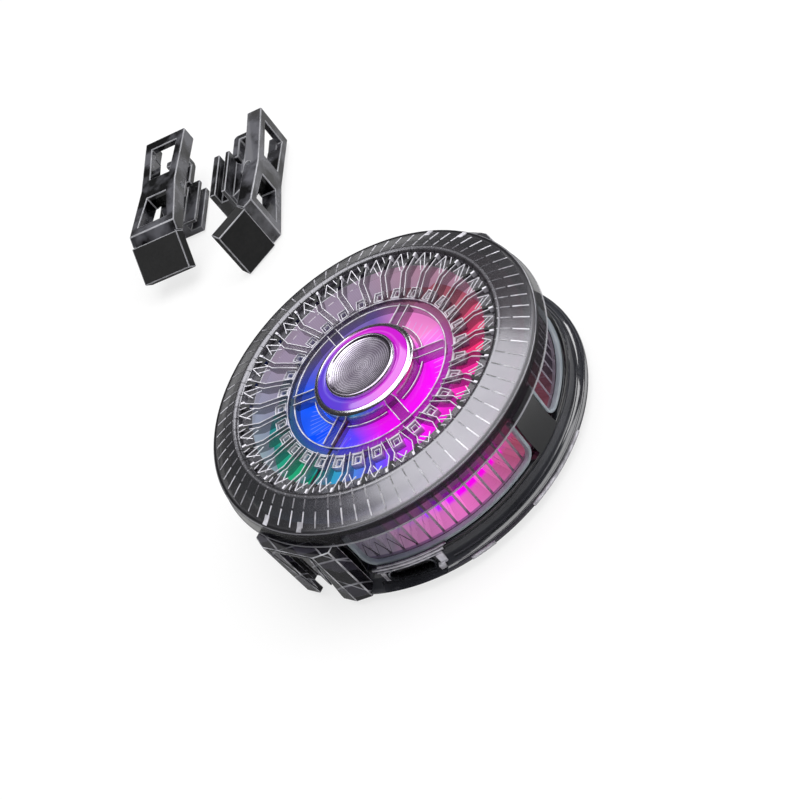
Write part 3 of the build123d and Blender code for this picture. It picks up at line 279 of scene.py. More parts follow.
near_hub = [
    (0.00, rose), (0.08, lilac), (0.20, lilac), (0.30, blue), (0.44, blue), (0.54, violet), (0.62, magenta),
    (0.82, magenta), (0.92, rose), (1.00, rose),
]
between_vanes = [
    (0.00, wine), (0.10, dusk), (0.25, dusk), (0.35, teal), (0.47, green), (0.54, sky), (0.60, violet),
    (0.66, magenta), (0.82, red), (0.94, wine), (1.00, wine),
]
at_fin_ends = [
    (0.00, shade), (0.25, dusk), (0.50, shade), (0.57, dusk), (0.65, rose), (0.74, wine), (0.82, shade),
    (1.00, shade),
]
in_light_ring = [
    (0.00, magenta), (0.12, magenta), (0.28, violet), (0.50, violet), (0.66, magenta), (1.00, magenta),
]


def glow(tree, hub_end=15.5, vane_start=18.0):
    """The light's colour: near the hub within hub_end mm, between the vanes beyond vane_start mm.

    The lamps aren't equally strong, so the pattern's middle lies a little off the axis.
    """
    place = Place(tree, LAMP_CENTRE)
    inner = ramp_of(tree, near_hub, place.turn)
    outer = ramp_of(tree, between_vanes, place.turn)
    return mix(tree, place.radius.ramp(hub_end, vane_start), inner, outer)


print("palette stops:", len(near_hub), len(between_vanes), len(at_fin_ends), len(in_light_ring))

# %% [markdown]
# ## Surfaces from arrays
#
# A shape is a grid of points, computed at once. Two grids are enough for this object: a profile turned
# round the fan's axis, and a section carried along a path. Each mesh stores how bright its edges are, so that
# a finish can paint fine light lines along the borders: painted highlights.

# %% Grid surfaces
def grid_faces(rows, columns, wrap_rows=False):
    """Quads of a rows by columns grid of points. Each row closes on itself, and the rows may wrap too."""
    i, j = np.meshgrid(np.arange(rows if wrap_rows else rows - 1), np.arange(columns), indexing="ij")
    k, m = (i + 1) % rows, (j + 1) % columns
    return np.stack([i * columns + j, k * columns + j, k * columns + m, i * columns + m], -1).reshape(-1, 4)


def revolve(profile, edge=0.0, start=0.0, end=FULL_TURN, step=1.25):
    """Points (r cos t, r sin t, z) for each profile point (r, z) and each angle t from start to end, with one
    edge value for each profile point."""
    profile = np.asarray(profile, float)
    n = len(profile)
    whole = end - start >= FULL_TURN
    count = max(3, int(round((end - start) / step)) + (0 if whole else 1))
    angles = np.radians(np.linspace(start, end, count, endpoint=not whole))
    ring = np.stack([np.cos(angles), np.sin(angles)], -1)
    flat = ring[:, None, :] * profile[None, :, :1]
    tall = np.broadcast_to(profile[None, :, 1:2], (count, n, 1))
    faces = grid_faces(count, n, wrap_rows=whole).tolist()
    if not whole:
        faces += [list(range(n)), list(range((count - 1) * n, count * n))]
    points = np.concatenate([flat, tall], -1).reshape(-1, 3)
    return points, faces, np.tile(np.broadcast_to(edge, n), count)


def sweep(section, path, edge=0.0, upward=(0, 0, 1)):
    """Section points (a, b) at each path point: the point + a x across + b x upward, where across is
    upward x the path's run, made 1 long. There is one edge value for each section point."""
    section, path = np.asarray(section, float), np.asarray(path, float)
    run = np.gradient(path, axis=0)
    lift = np.broadcast_to(np.asarray(upward, float), path.shape)
    across = np.cross(lift, run)
    across /= np.linalg.norm(across, axis=1, keepdims=True)
    sideways = section[None, :, :1] * across[:, None, :]
    raised = section[None, :, 1:] * lift[:, None, :]
    points = path[:, None, :] + sideways + raised
    n = len(section)
    faces = grid_faces(len(path), n).tolist()
    faces += [list(range(n)), list(range((len(path) - 1) * n, len(path) * n))]
    return points.reshape(-1, 3), faces, np.tile(np.broadcast_to(edge, n), len(path))


def around(points, faces, edge, angles):
    """Copies of one shape turned about the fan's axis by each angle t, as one set of arrays: each point
    (x, y, z) goes to (x cos t - y sin t, x sin t + y cos t, z)."""
    turns = np.radians(angles)[:, None]
    x, y, z = points.T
    moved = np.stack(np.broadcast_arrays(
        x * np.cos(turns) - y * np.sin(turns), x * np.sin(turns) + y * np.cos(turns), z,
    ), -1).reshape(-1, 3)
    shifted = [[corner + k * len(points) for corner in face] for k in range(len(turns)) for face in faces]
    return moved, shifted, np.tile(edge, len(turns))


def joined(*shapes):
    """Several (points, faces, edge) shapes as one."""
    points, faces, edges, offset = [], [], [], 0
    for shape_points, shape_faces, shape_edge in shapes:
        points.append(shape_points)
        faces += [[corner + offset for corner in face] for face in shape_faces]
        edges.append(shape_edge)
        offset += len(shape_points)
    return np.concatenate(points), faces, np.concatenate(edges)


def piece(name, shape, material, body="cooler", replaces=(), crease=32):
    """Writes a shape in mm as a mesh object that rides on a body; creases sharper than that many degrees
    stay hard."""
    points, faces, edge = shape
    mesh = bpy.data.meshes.new(name)
    mesh.from_pydata((points * MM).tolist(), [], faces)
    stored = mesh.attributes.new("edge", "FLOAT", "POINT")
    stored.data.foreach_set("value", edge.astype(np.float32))
    solid = bmesh.new()
    solid.from_mesh(mesh)
    bmesh.ops.recalc_face_normals(solid, faces=solid.faces)
    solid.to_mesh(mesh)
    solid.free()
    mesh.shade_smooth()
    mesh.set_sharp_from_angle(angle=math.radians(crease))
    mesh.materials.append(material)
    made = placed(name, mesh)
    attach(made, body)
    if replaces:
        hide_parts(*replaces)
    print(name, "has", len(mesh.polygons), "faces")


def polar_path(radii, angles, heights):
    """Path points (r cos t, r sin t, z) from radii r, angles t in degrees and heights z. One number
    in place of a list holds for every point."""
    radii, turns, heights = np.broadcast_arrays(radii, np.radians(angles), heights)
    return np.stack([radii * np.cos(turns), radii * np.sin(turns), heights], -1)


def upright(path):
    """Each path point's direction away from the fan's axis: (x, y, 0) made 1 long."""
    flat = path * [1, 1, 0]
    return flat / np.linalg.norm(flat, axis=1, keepdims=True)


def box_section(half_width, low, high):
    """A rectangle as wide as twice the half width, from low to high."""
    return [(-half_width, low), (half_width, low), (half_width, high), (-half_width, high)]


def evenly(count, first=0.0):
    """That many angles, evenly spaced round the axis from the first."""
    return np.arange(count) * FULL_TURN / count + first


# %% [markdown]
# ## CAD pieces with softened edges
#
# The imported solids have razor edges, which catch no light. A moulded piece has small radii there. So a
# copy of a node is welded, its flat faces are joined again and a narrow bevel runs along its edges. A bevel
# can take a paler material, a painted highlight.

# %% Softened copies
WELD = 0.003 * MM
FLAT_ANGLE = math.radians(0.4)
CREASE_ANGLE = math.radians(30)


def soften(node, material, width, highlight_line=None, clamp=True):
    """A welded copy of a CAD node with bevelled edges; the bevels take the highlight material if one is given,
    a paler colour painted on as a highlight.

    A clamped bevel stops where two edges' bevels would meet. A hole with short facets would stop it at
    nearly nothing, so a node that has one is bevelled unclamped.
    """
    source = frame["nodes"][node]
    mesh = source.data.copy()
    mesh.name = node + "_soft"
    solid = bmesh.new()
    solid.from_mesh(mesh)
    bmesh.ops.remove_doubles(solid, verts=solid.verts, dist=WELD)
    bmesh.ops.dissolve_limit(solid, angle_limit=FLAT_ANGLE, verts=solid.verts, edges=solid.edges)
    solid.to_mesh(mesh)
    solid.free()
    if "custom_normal" in mesh.attributes:
        mesh.attributes.remove(mesh.attributes["custom_normal"])
    mesh.materials.clear()
    mesh.materials.append(material)
    mesh.shade_smooth()
    mesh.set_sharp_from_angle(angle=CREASE_ANGLE)
    made = placed(node + "_soft", mesh)
    bevel = made.modifiers.new("edge", "BEVEL")
    bevel.width = width * MM
    bevel.segments = 2
    bevel.use_clamp_overlap = clamp
    bevel.limit_method = "ANGLE"
    bevel.angle_limit = CREASE_ANGLE
    bevel.harden_normals = True
    if highlight_line:
        mesh.materials.append(highlight_line)
        bevel.material = 1
    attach(made, source["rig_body"])
    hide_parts(node)


def paint(material, *nodes):
    """Gives CAD nodes a finish through their material slots."""
    for node in nodes:
        for place in frame["nodes"][node].material_slots:
            place.material = material
    print(material.name, "on", ", ".join(nodes))


# %% [markdown]
# ## Smoked clear plastic
#
# The cover is a clear plastic with grey smoke in it. Real refraction through two dozen thin walls is slow
# and dark, so a wall is drawn as a thin film: partly open, with a strong gloss over it. It grows denser where
# it is seen edge-on, as a real wall does, and its borders carry painted highlight lines.

# %% Smoked plastics
# Heights and radii in mm where the cover's form changes.
BAND_TOP, SLOPE_FOOT, VANE_TIPS, SLOPE_EDGE = 18.7, 19.3, 21.8, 26.4


def edge_of(tree):
    """How bright a painted highlight this point's edge carries, as the piece stores it; below 0 it marks a
    dark bead.
    """
    return add(tree, "ShaderNodeAttribute", {"attribute_name": "edge"}, output="Fac")


def edge_on(tree, blend):
    """0 where the surface faces the viewer, rising to 1 where it is seen edge-on."""
    return add(tree, "ShaderNodeLayerWeight", {}, {"Blend": blend}, output="Facing")


def shell_look(tree, place):
    """Dark smoke, with a metal sheen on the frosted slope; edge -1 is a dark bead and +1 a pale painted
    highlight.
    """
    edge = edge_of(tree)
    light, dark = edge.ramp(0.0, 1.0), edge.ramp(0.0, -1.0)
    slope = place.height.ramp(BAND_TOP, SLOPE_FOOT)
    cloud = place.noise(7.0, 3.0)
    smoke = mix(tree, slope, tone(22, 21, 27), mix(tree, cloud, tone(112, 111, 117), tone(130, 129, 134)))
    # Positive edge values paint a pale highlight along the borders; negative ones a dark bead of denser smoke.
    smoke = mix(tree, light, mix(tree, dark, smoke, tone(14, 14, 18)), tone(206, 206, 214))
    return {
        "Base Color": smoke,
        "Roughness": 0.08 + 0.16 * slope + 0.05 * cloud,
        "Metallic": (0.9 * slope - light).ramp(0.0, 1.0),
        "Coat Weight": 0.14 + 0.16 * slope,
        "Alpha": (0.50 + 0.34 * slope + 0.08 * cloud + 0.5 * light + 0.5 * dark).ramp(0.0, 1.0),
        "Bump": (place.noise(2.6, 1.0), 0.02),
    }


def bar_look(tree, place):
    """Clear bars: nearly open in the middle, with uneven white lines painted on the borders as highlights."""
    edge = edge_of(tree)
    at_tips, on_slope = place.radius.above(VANE_TIPS, 0.6), place.radius.above(SLOPE_EDGE, 0.4)
    patch = place.noise(13.0, 1.0).ramp(0.42, 0.6)
    # Painted highlight: white along the borders, stronger at the vane tips and weaker in patches on the slope.
    border_highlight = edge * (0.32 + 1.1 * place.noise(1.6, 2.0)) * (1 + 0.5 * at_tips) * (1 - 0.5 * on_slope * patch)
    return {
        "Base Color": mix(tree, border_highlight.ramp(0.15, 0.8), tone(34, 30, 42), tone(226, 224, 232)),
        "Roughness": 0.06 + 0.06 * place.noise(1.5),
        "Alpha": (0.33 + 0.62 * border_highlight + 0.12 * edge_on(tree, 0.4)).ramp(0.0, 1.0),
        "Bump": (place.noise(1.2, 1.0), 0.012),
    }


def dock_look(tree, place, slant_pitch=7.7, cross_pitch=10.3):
    """Dark clear blocks: the ribs inside show as slanting bands, with thin light borders that are painted
    highlights.
    """
    slant = ((place.height + 0.7 * place.y + 1.4 * place.x) / slant_pitch).fract()
    cross = ((place.height - 0.9 * place.y + 1.9 * place.x) / cross_pitch).fract()
    deep = slant.above(0.5, 0.02) * cross.above(0.4, 0.02)
    # Painted highlights along the ribs' borders.
    highlight_line = slant.above(0.94, 0.02) + cross.above(0.95, 0.02)
    cloud = place.noise(4.0, 2.0)
    glass = mix(tree, deep, mix(tree, cloud, tone(8, 8, 12), tone(34, 32, 40)), tone(56, 54, 64))
    return {
        "Base Color": mix(tree, 0.6 * highlight_line * cloud.ramp(0.3, 0.6), glass, tone(186, 186, 194)),
        "Roughness": 0.06 + 0.10 * cloud,
        "Alpha": (0.86 + 0.2 * cloud).ramp(0.0, 1.0),
        "Bump": (cloud + 0.6 * deep, 0.08),
    }


def bevel_highlight_look(tree, place):
    """A pale colour painted on bevels as a highlight, broken by small dull spots."""
    spot = place.noise(2.2, 3.0)
    return {
        "Base Color": mix(tree, spot.ramp(0.35, 0.65), tone(110, 110, 116), tone(214, 214, 220)),
        "Roughness": 0.12 + 0.2 * spot,
        "Bump": (spot, 0.01),
    }


smoked_shell = finish("smoked_shell", shell_look, IOR=1.4, Coat_IOR=1.6, Coat_Roughness=0.1)
clear_bar = finish("clear_bar", bar_look, IOR=1.5, Coat_Weight=0.3, Coat_Roughness=0.05)
smoked_block = finish("smoked_block", dock_look, IOR=1.45, Coat_Weight=0.5, Coat_Roughness=0.04)
# Paler bevels: a painted highlight.
bevel_highlight = finish("bevel_highlight", bevel_highlight_look, Coat_Weight=1.0, Coat_Roughness=0.05)

# %% [markdown]
# ## Opaque plastics, rubbers and metals
#
# The base and wall are black moulded plastic with a polish, the window frames a pale grey one. Under a lamp
# each shows faint mould texture, so each gets grain in both its roughness and its surface.

# %% Opaque finishes
def black_look(tree, place):
    """Polished black with faint turned lines, 3.5 to the mm, and a little smoke showing in the base."""
    cloud, low = place.noise(9.0, 3.0), 1 - place.height.ramp(4.9, 5.3)
    lines = (place.radius * 22.0).sine()
    return {
        "Base Color": mix(tree, cloud, tone(10, 11, 13), mix(tree, low, tone(26, 27, 31), tone(70, 71, 78))),
        "Roughness": 0.10 + 0.14 * cloud * place.noise(1.1, 2.0),
        "Bump": (place.noise(2.2, 2.0) + 0.04 * lines, 0.012),
    }


def pale_look(tree, place):
    """Pale grey plastic with slow clouds."""
    cloud = place.noise(6.0, 3.0)
    return {
        "Base Color": mix(tree, cloud, tone(112, 120, 128), tone(176, 186, 194)),
        "Roughness": 0.18 + 0.12 * cloud,
        "Bump": (place.noise(0.9, 2.0), 0.01),
    }


def clip_look(tree, place):
    """Dark glossy plastic, rougher where fingers have rubbed it, with lighter streaks of painted sheen from
    the same pattern.
    """
    rub_and_sheen = place.noise(7.0, 3.0)
    return {
        # Painted sheen: lighter streaks where the pattern is high.
        "Base Color": mix(tree, rub_and_sheen.ramp(0.44, 0.62), tone(7, 7, 9), tone(92, 92, 98)),
        "Roughness": 0.08 + 0.20 * rub_and_sheen,
        "Bump": (place.noise(0.35, 2.0), 0.006),
    }


def rubber_look(tree, place):
    """Black rubber with a fine mould grain."""
    return {
        "Base Color": mix(tree, place.noise(5.0, 3.0), tone(12, 12, 13), tone(30, 30, 31)),
        "Roughness": 0.62 + 0.2 * place.noise(0.8, 2.0),
        "Bump": (place.noise(0.28, 3.0), 0.02),
    }


def metal_look(dark, light, grain, low, high):
    """A metal between two tones, with a grain of that size and a range of roughness."""
    def look(tree, place):
        spot = place.noise(grain * 8, 3.0)
        return {
            "Base Color": mix(tree, spot, dark, light),
            "Roughness": low + (high - low) * place.noise(grain, 2.0),
            "Bump": (place.noise(grain, 2.0), grain * 0.02),
        }
    return look


def dish_look(tree, place, ring_pitch=0.42):
    """Turned metal: fine rings and slow clouds between a dull and a bright silver."""
    rings = (place.radius * (math.tau / ring_pitch)).sine()
    cloud = place.noise(5.0, 3.0)
    return {
        "Base Color": mix(tree, 0.16 * rings + 1.5 * cloud - 0.3, tone(128, 116, 138), tone(232, 226, 240)),
        "Roughness": 0.16 + 0.12 * cloud,
        "Bump": (rings, 0.006),
    }


def board_look(tree, place):
    """Dark lacquer with copper tracks under it, 1.3 mm apart and wavy."""
    track = (place.radius * 5.0 + 3 * place.noise(3.0)).sine()
    return {
        "Base Color": mix(tree, track.above(0.55, 0.3), tone(14, 42, 34), tone(52, 88, 58)),
        "Roughness": 0.3 + 0.15 * place.noise(0.8),
        "Bump": (track.above(0.55, 0.4), 0.02),
    }


def dull_look(dark, light, grain, rough, depth):
    """A dull solid between two tones."""
    def look(tree, place):
        return {
            "Base Color": mix(tree, place.noise(grain * 6, 3.0), dark, light),
            "Roughness": rough + 0.15 * place.noise(grain),
            "Bump": (place.noise(grain, 3.0), depth),
        }
    return look


black_gloss = finish("black_gloss", black_look, Coat_Weight=1.0, Coat_Roughness=0.05)
pale_frame = finish("pale_frame", pale_look, Coat_Weight=0.6, Coat_Roughness=0.08)
clip_plastic = finish("clip_plastic", clip_look, Coat_Weight=1.0, Coat_Roughness=0.06)
# The clips' paler bevels: a painted highlight.
clip_bevel_highlight = finish(
    "clip_bevel_highlight", dull_look(tone(60, 60, 65), tone(190, 190, 196), 0.8, 0.1, 0.004), Coat_Weight=1.0)
rubber = finish("rubber", rubber_look)
circuit_board = finish("circuit_board", board_look, Coat_Weight=0.4)
dish_metal = finish("dish_metal", dish_look, Metallic=1.0)

chrome, steel, bronze, copper, aluminium, laminated, pellet = [
    finish(name, metal_look(tone(*dark), tone(*light), grain, low, high), Metallic=1.0)
    for name, dark, light, grain, low, high in (
        ("chrome", (196, 192, 202), (226, 224, 232), 0.5, 0.16, 0.26),
        ("steel", (150, 152, 158), (190, 192, 198), 0.4, 0.18, 0.34),
        ("bronze", (140, 98, 60), (172, 126, 84), 0.4, 0.3, 0.5),
        ("copper", (176, 92, 52), (214, 128, 82), 0.15, 0.25, 0.45),
        ("aluminium", (168, 170, 174), (206, 208, 212), 0.3, 0.25, 0.42),
        ("laminated", (84, 86, 92), (120, 122, 128), 0.25, 0.35, 0.5),
        ("pellet", (120, 122, 130), (158, 160, 168), 0.2, 0.35, 0.5),
    )
]
magnet_black, chip_black, tongue_black, ceramic, foam, silicone, wire_skin = [
    finish(name, dull_look(tone(*dark), tone(*light), grain, rough, depth))
    for name, dark, light, grain, rough, depth in (
        ("magnet_black", (24, 24, 26), (44, 44, 47), 0.3, 0.45, 0.01),
        ("chip_black", (18, 18, 20), (32, 32, 34), 0.2, 0.5, 0.008),
        ("tongue_black", (16, 16, 18), (30, 30, 32), 0.3, 0.4, 0.006),
        ("ceramic", (226, 226, 220), (244, 244, 240), 0.3, 0.45, 0.01),
        ("foam", (44, 44, 46), (72, 72, 74), 0.35, 0.85, 0.12),
        ("silicone", (98, 106, 118), (126, 134, 144), 0.4, 0.5, 0.03),
        ("wire_skin", (16, 16, 20), (34, 34, 40), 0.3, 0.4, 0.01),
    )
]

# %% [markdown]
# ## Lit parts
#
# The milky blades and the fins glow with painted light in the hub's colours. Their own shading hides behind
# the glow, so the colour goes into the emission, and only the fins' edges keep the light of the room, with a
# pale metal colour painted on them as a highlight.

# %% Lit finishes
# Radii and heights in mm: the ring of fine rays of painted highlight on the blades, and the fins' ends, rim,
# crown and lower edge.
RAY_START, RAY_END, RAY_COUNT = 11.0, 14.6, 72
FIN_ENDS, FIN_RIM, FIN_CROWN, FIN_LOW_EDGE = (24.6, 25.4), 29.42, 17.72, (8.55, 9.0)
SLOT_COUNT = 360


def blade_look(tree, place):
    """Milky blades glowing with painted lamp light in the hub's colours, a little uneven."""
    light = glow(tree)
    cloud = place.noise(8.0, 2.0)
    # Fine rays of painted highlight run over the blades between 11 and 14.6 mm.
    within = (1 - place.radius.above(RAY_END, 0.4)) * place.radius.above(RAY_START, 0.4)
    ray = (place.turn * RAY_COUNT).fract().above(0.88, 0.06) * within
    light = mix(tree, 0.35 * ray, light, tone(190, 200, 240))
    return {
        "Base Color": mix(tree, 0.4, unlit, light),
        "Emission Color": mix(tree, 0.24 * cloud, light, (0.02, 0.01, 0.03)),
        "Roughness": 0.3 + 0.15 * cloud,
        "Bump": (place.noise(3.0), 0.02),
    }


def fin_look(tree, place):
    """Fins: painted lamp light between the blades, a painted highlight at their outer edges and painted shade
    at the foot.
    """
    ends = ramp_of(tree, at_fin_ends, place.turn)
    light = mix(tree, place.radius.ramp(*FIN_ENDS), glow(tree), ends)
    # Painted highlight: the rim, crown and lower edge take a pale metal colour in place of the glow.
    rim = place.radius.above(FIN_RIM, 0.06)
    crown = place.height.above(FIN_CROWN, 0.06)
    low_edge = place.height.above(FIN_LOW_EDGE[0], 0.04) * (1 - place.height.above(FIN_LOW_EDGE[1], 0.04))
    bright = (rim + 0.7 * crown + 0.6 * low_edge).ramp(0.0, 1.0)
    # Painted shade: the glow fades towards the foot.
    depth = 0.78 + 0.22 * place.height.ramp(6.0, 13.0)
    return {
        "Base Color": mix(tree, bright, mix(tree, 0.4, unlit, light), tone(158, 150, 164)),
        "Emission Color": mix(tree, (1 - depth) + 0.75 * bright, light, black),
        "Roughness": 0.22 + 0.14 * place.noise(1.2),
        "Metallic": 0.55 * bright,
        "Bump": (place.noise(1.0, 2.0), 0.01),
    }


def screen_look(tree, place):
    """A pale screen with fine upright slots, glowing with painted lamp light, darker towards the bottom as
    painted shade.
    """
    slot = (place.turn * SLOT_COUNT).fract().above(0.6, 0.2)
    light = mix(tree, 0.50 + 0.08 * slot, glow(tree), tone(190, 170, 196))
    # Painted shade: the glow dims towards the bottom, with some random unevenness.
    dimming = 0.25 * (1 - place.height.ramp(8.5, 16.0)) + 0.12 * place.noise(5.0)
    return {
        "Base Color": mix(tree, 0.4, unlit, light),
        "Emission Color": mix(tree, dimming, light, black),
        "Roughness": 0.3 + 0.1 * slot,
        "Bump": (slot, 0.02),
    }


def halo_look(tree, place):
    """The light ring: its lamps' colours under a faint uneven sheen."""
    light = ramp_of(tree, in_light_ring, place.turn)
    sheen = place.noise(5.0, 2.0)
    return {
        "Base Color": mix(tree, 0.1, (0.01, 0.005, 0.02), light),
        "Emission Color": mix(tree, 0.18 * sheen, light, (0.1, 0.1, 0.3)),
        "Roughness": 0.1 + 0.08 * sheen,
        "Bump": (place.noise(2.0), 0.01),
    }


lit_blade = finish("lit_blade", blade_look, Emission_Strength=0.9, IOR=1.35)
lit_fin = finish("lit_fin", fin_look, Emission_Strength=0.9, IOR=1.4)
lit_screen = finish("lit_screen", screen_look, Emission_Strength=0.9, IOR=1.35)
halo_glow = finish(
    "halo_glow", halo_look, Emission_Strength=0.72, IOR=1.4,
    Coat_Weight=0.8, Coat_IOR=1.65, Coat_Roughness=0.12,
)
lamp_glow = finish("lamp_glow", halo_look, Emission_Strength=2.0)

# %% [markdown]
# ## Cover
#
# The cover is one moulding, but it is easier to draw as its forms: the shell with its band and sloped rim,
# the ribs under the slope, the vanes, the ring with its stepped frames, the spokes and the cup.

# %% Shell
def cover_part(name, shape, material=clear_bar):
    """One form of the cover. Together they take the place of the CAD model's."""
    piece(name, shape, material, replaces=("front_cover",))


shell_outer = [
    (30.05, 15.82), (33.08, 15.82), (33.20, 15.94), (33.20, 16.22), (33.05, 16.36), (32.98, 16.70),
    (32.66, 18.10), (32.60, 18.36), (32.66, 18.48), (32.62, 18.78), (32.44, 19.00), (32.22, 19.10),
    (32.05, 19.10), (31.70, 19.22), (30.20, 19.95), (28.60, 20.68), (27.40, 21.20), (27.10, 21.34),
    (26.90, 21.46), (26.55, 21.50), (26.10, 21.36), (25.78, 21.08), (25.62, 20.80),
]
shell_inner = [
    (25.62, 19.85), (26.60, 20.24), (28.60, 19.50), (31.10, 18.30), (31.50, 17.90),
    (31.92, 16.82), (30.05, 16.82),
]
shell_profile = shell_outer + shell_inner
shell_edge = np.zeros(len(shell_profile))
dark_beads, band_foot, band_top = [7, 8, 11, 12], [2, 3], 10
# Painted highlight lines at the band's foot and top; the beads are dark denser smoke.
shell_edge[dark_beads] = -0.8
shell_edge[band_foot] = 0.55
shell_edge[band_top] = 0.35
cover_part("cover_shell", revolve(shell_profile, shell_edge), smoked_shell)

# %% Ribs under the slope
RIB_COUNT = 72
rib_section = box_section(0.12, -0.12, 0.05)
# The ribs and tabs carry painted highlight lines along their borders.
outer_rib = sweep(rib_section, polar_path([29.0, 30.2, 31.5], 0, [20.50, 19.95, 19.31]), 0.8)
inner_rib = sweep(rib_section, polar_path([26.5, 27.4, 28.6], 0, [21.50, 21.20, 20.68]), 0.42)
tab = sweep(box_section(0.5, -0.1, 0.08), polar_path([30.6, 31.4, 32.2], 0, [19.77, 19.36, 19.1]), 0.62)
tab_angles = [172.0, 186.5, 352.0, 6.5]
cover_part("slope_ribs", joined(
    around(*joined(outer_rib, inner_rib), evenly(RIB_COUNT, 2.5)),
    around(*tab, tab_angles),
))

# %% Vanes
VANE_COUNT = 30
vane_section = [
    (-0.62, 18.62), (0.62, 18.62), (0.62, 20.32), (0.58, 20.40), (0.46, 20.40), (0.42, 20.10),
    (-0.42, 20.10), (-0.46, 20.40), (-0.58, 20.40), (-0.62, 20.32),
]
# Painted highlight lines along the vanes' top borders; the spokes use them too.
vane_highlights = [0.0, 0.0, 0.35, 1.0, 0.9, 0.0, 0.0, 0.9, 1.0, 0.35]
vane_path = polar_path([16.9, 19.4, 21.8, 24.0, 25.9], [0, 1.6, 2.9, 1.5, 0.3], [-0.95, -0.5, -0.1, 0.2, 0.4])
vane_bar = sweep(vane_section, vane_path, vane_highlights)
# A painted highlight on one side of each vane tip.
tip_painted_highlight = sweep([(-0.62, 19.9), (-0.2, 19.9), (-0.2, 21.0), (-0.62, 21.0)],
                  polar_path([24.9, 25.7], [0.6, 0.4], 0), 0.9)
# Thin bars near the vane tips, drawn as painted highlight lines.
zigzag_highlights = [
    sweep(box_section(0.07, 0, 0.14), polar_path(radii, angles, heights), 1.1)
    for radii, angles, heights in (
        ([22.6, 25.5], [3.6, 6.2], [20.3, 20.95]),
        ([23.4, 25.5], [9.6, 6.4], [20.5, 20.95]),
        ([24.2, 25.6], [2.0, 3.2], [20.6, 21.0]),
        ([22.2, 24.6], [5.4, 8.2], [20.1, 20.5]),
    )
]
cover_part("vanes", around(*joined(vane_bar, tip_painted_highlight, *zigzag_highlights), evenly(VANE_COUNT, 6.0)))

# A lip inside the mouth, with a painted highlight at its inner corner.
lip_profile = [(23.4, 20.02), (23.48, 19.92), (25.9, 19.92), (25.9, 20.04), (23.5, 20.10)]
cover_part("mouth_lip", revolve(lip_profile, [0.5, 0, 0, 0, 0]), smoked_shell)

# Painted shade: a dark sheet beside each vane tip.
tip_painted_shade = sweep([(-0.1, 19.9), (0.62, 19.9), (0.62, 20.8), (-0.1, 20.8)],
                 polar_path([23.6, 25.6], [1.7, 0.5], 0), 0.0)
spike_path = polar_path([25.65, 26.05, 26.5], 0, [20.95, 21.33, 21.47])
spike_section = [(-0.16, -0.05), (0.16, -0.05), (0.0, 0.10)]
spike_taper = [1.0, 0.6, 0.1]
spike = sweep(spike_section, spike_path)
spike[0][:, 1] *= np.repeat(spike_taper, len(spike_section))
tip_shade_and_spikes = joined(around(*tip_painted_shade, evenly(VANE_COUNT, 6.0)), around(*spike, evenly(2 * VANE_COUNT, 1.6)))
piece("tip_shade_and_spikes", tip_shade_and_spikes, black_gloss)

# %% Ring and frames
ring_profile = [
    (15.05, 17.2), (16.95, 17.2), (16.98, 18.5), (16.94, 18.84), (16.84, 18.9), (16.72, 18.84),
    (16.66, 18.5), (15.44, 18.5), (15.38, 18.84), (15.28, 18.9), (15.16, 18.86), (15.05, 18.7),
]
# Painted highlight lines along the ring's top borders.
ring_highlights = [0, 0, 0, 0.7, 1.0, 0.6, 0, 0, 0.6, 1.0, 0.7, 0]
cover_part("grille_ring", revolve(ring_profile, ring_highlights))


def frame_loop(near, far, half, base, top, wall):
    """A small raised rectangle: four walls round a hollow, with a painted highlight on its top as a bright
    outline.

    It runs from near to far along the radius and from -half to half across it. Each inner corner is
    centre + (outer corner - centre) x (1 - 2 wall / side length).
    """
    outer = np.array([(near, -half), (far, -half), (far, half), (near, half)])
    centre = outer.mean(0)
    inner = centre + (outer - centre) * (1 - 2 * wall / (outer.max(0) - outer.min(0)))
    flat = np.concatenate([outer, outer, inner, inner])
    tall = np.repeat([base, top, top, base], 4)
    points = np.column_stack([flat, tall])
    return points, grid_faces(4, 4, wrap_rows=True).tolist(), np.repeat([0.2, 1.0, 1.0, 0.2], 4)


outer_frame = frame_loop(near=17.05, far=19.3, half=0.98, base=17.6, top=18.95, wall=0.13)
inner_frame = frame_loop(near=17.5, far=18.9, half=0.55, base=17.6, top=18.7, wall=0.11)
cover_part("ring_frames", around(*joined(outer_frame, inner_frame), evenly(VANE_COUNT)))

# %% Spokes and cup
SPOKE_COUNT = 6
spoke_section = [
    (-1.1, 17.75), (1.1, 17.75), (1.1, 19.52), (1.06, 19.6), (0.92, 19.6), (0.87, 19.2),
    (-0.87, 19.2), (-0.92, 19.6), (-1.06, 19.6), (-1.1, 19.52),
]
spoke = sweep(spoke_section, polar_path([9.5, 11.0, 13.0, 15.1], 0, 0), vane_highlights)
cup_profile = [
    (0.0, 19.72), (8.95, 19.72), (8.95, 17.95), (9.02, 17.9), (9.55, 17.9), (9.62, 17.98), (9.62, 20.7),
    (9.52, 20.78), (9.08, 20.78), (9.02, 20.7), (9.02, 20.48), (0.0, 20.48),
]
# Painted highlight lines on the cup's rim and on the steps.
cup_highlights = [0, 0, 0, 0, 0, 0.2, 0.8, 1.0, 0.6, 0, 0, 0]
step_profile = [
    (10.2, 18.4), (11.0, 18.4), (11.0, 18.95), (10.94, 19.0), (10.8, 19.0), (10.74, 18.7), (10.2, 18.7),
]
step_arc = revolve(step_profile, [0, 0, 0.3, 1.0, 0.8, 0, 0], start=9, end=51)
cover_part("spokes_and_cup", joined(
    around(*spoke, evenly(SPOKE_COUNT)),
    revolve(cup_profile, cup_highlights),
    around(*step_arc, evenly(SPOKE_COUNT)),
))

# %% [markdown]
# ## Hub
#
# The medallion is a shallow chromed dish with very fine turned rings and a rounded rim. A light ring glows
# round it, and a bright trim ring closes the cup.

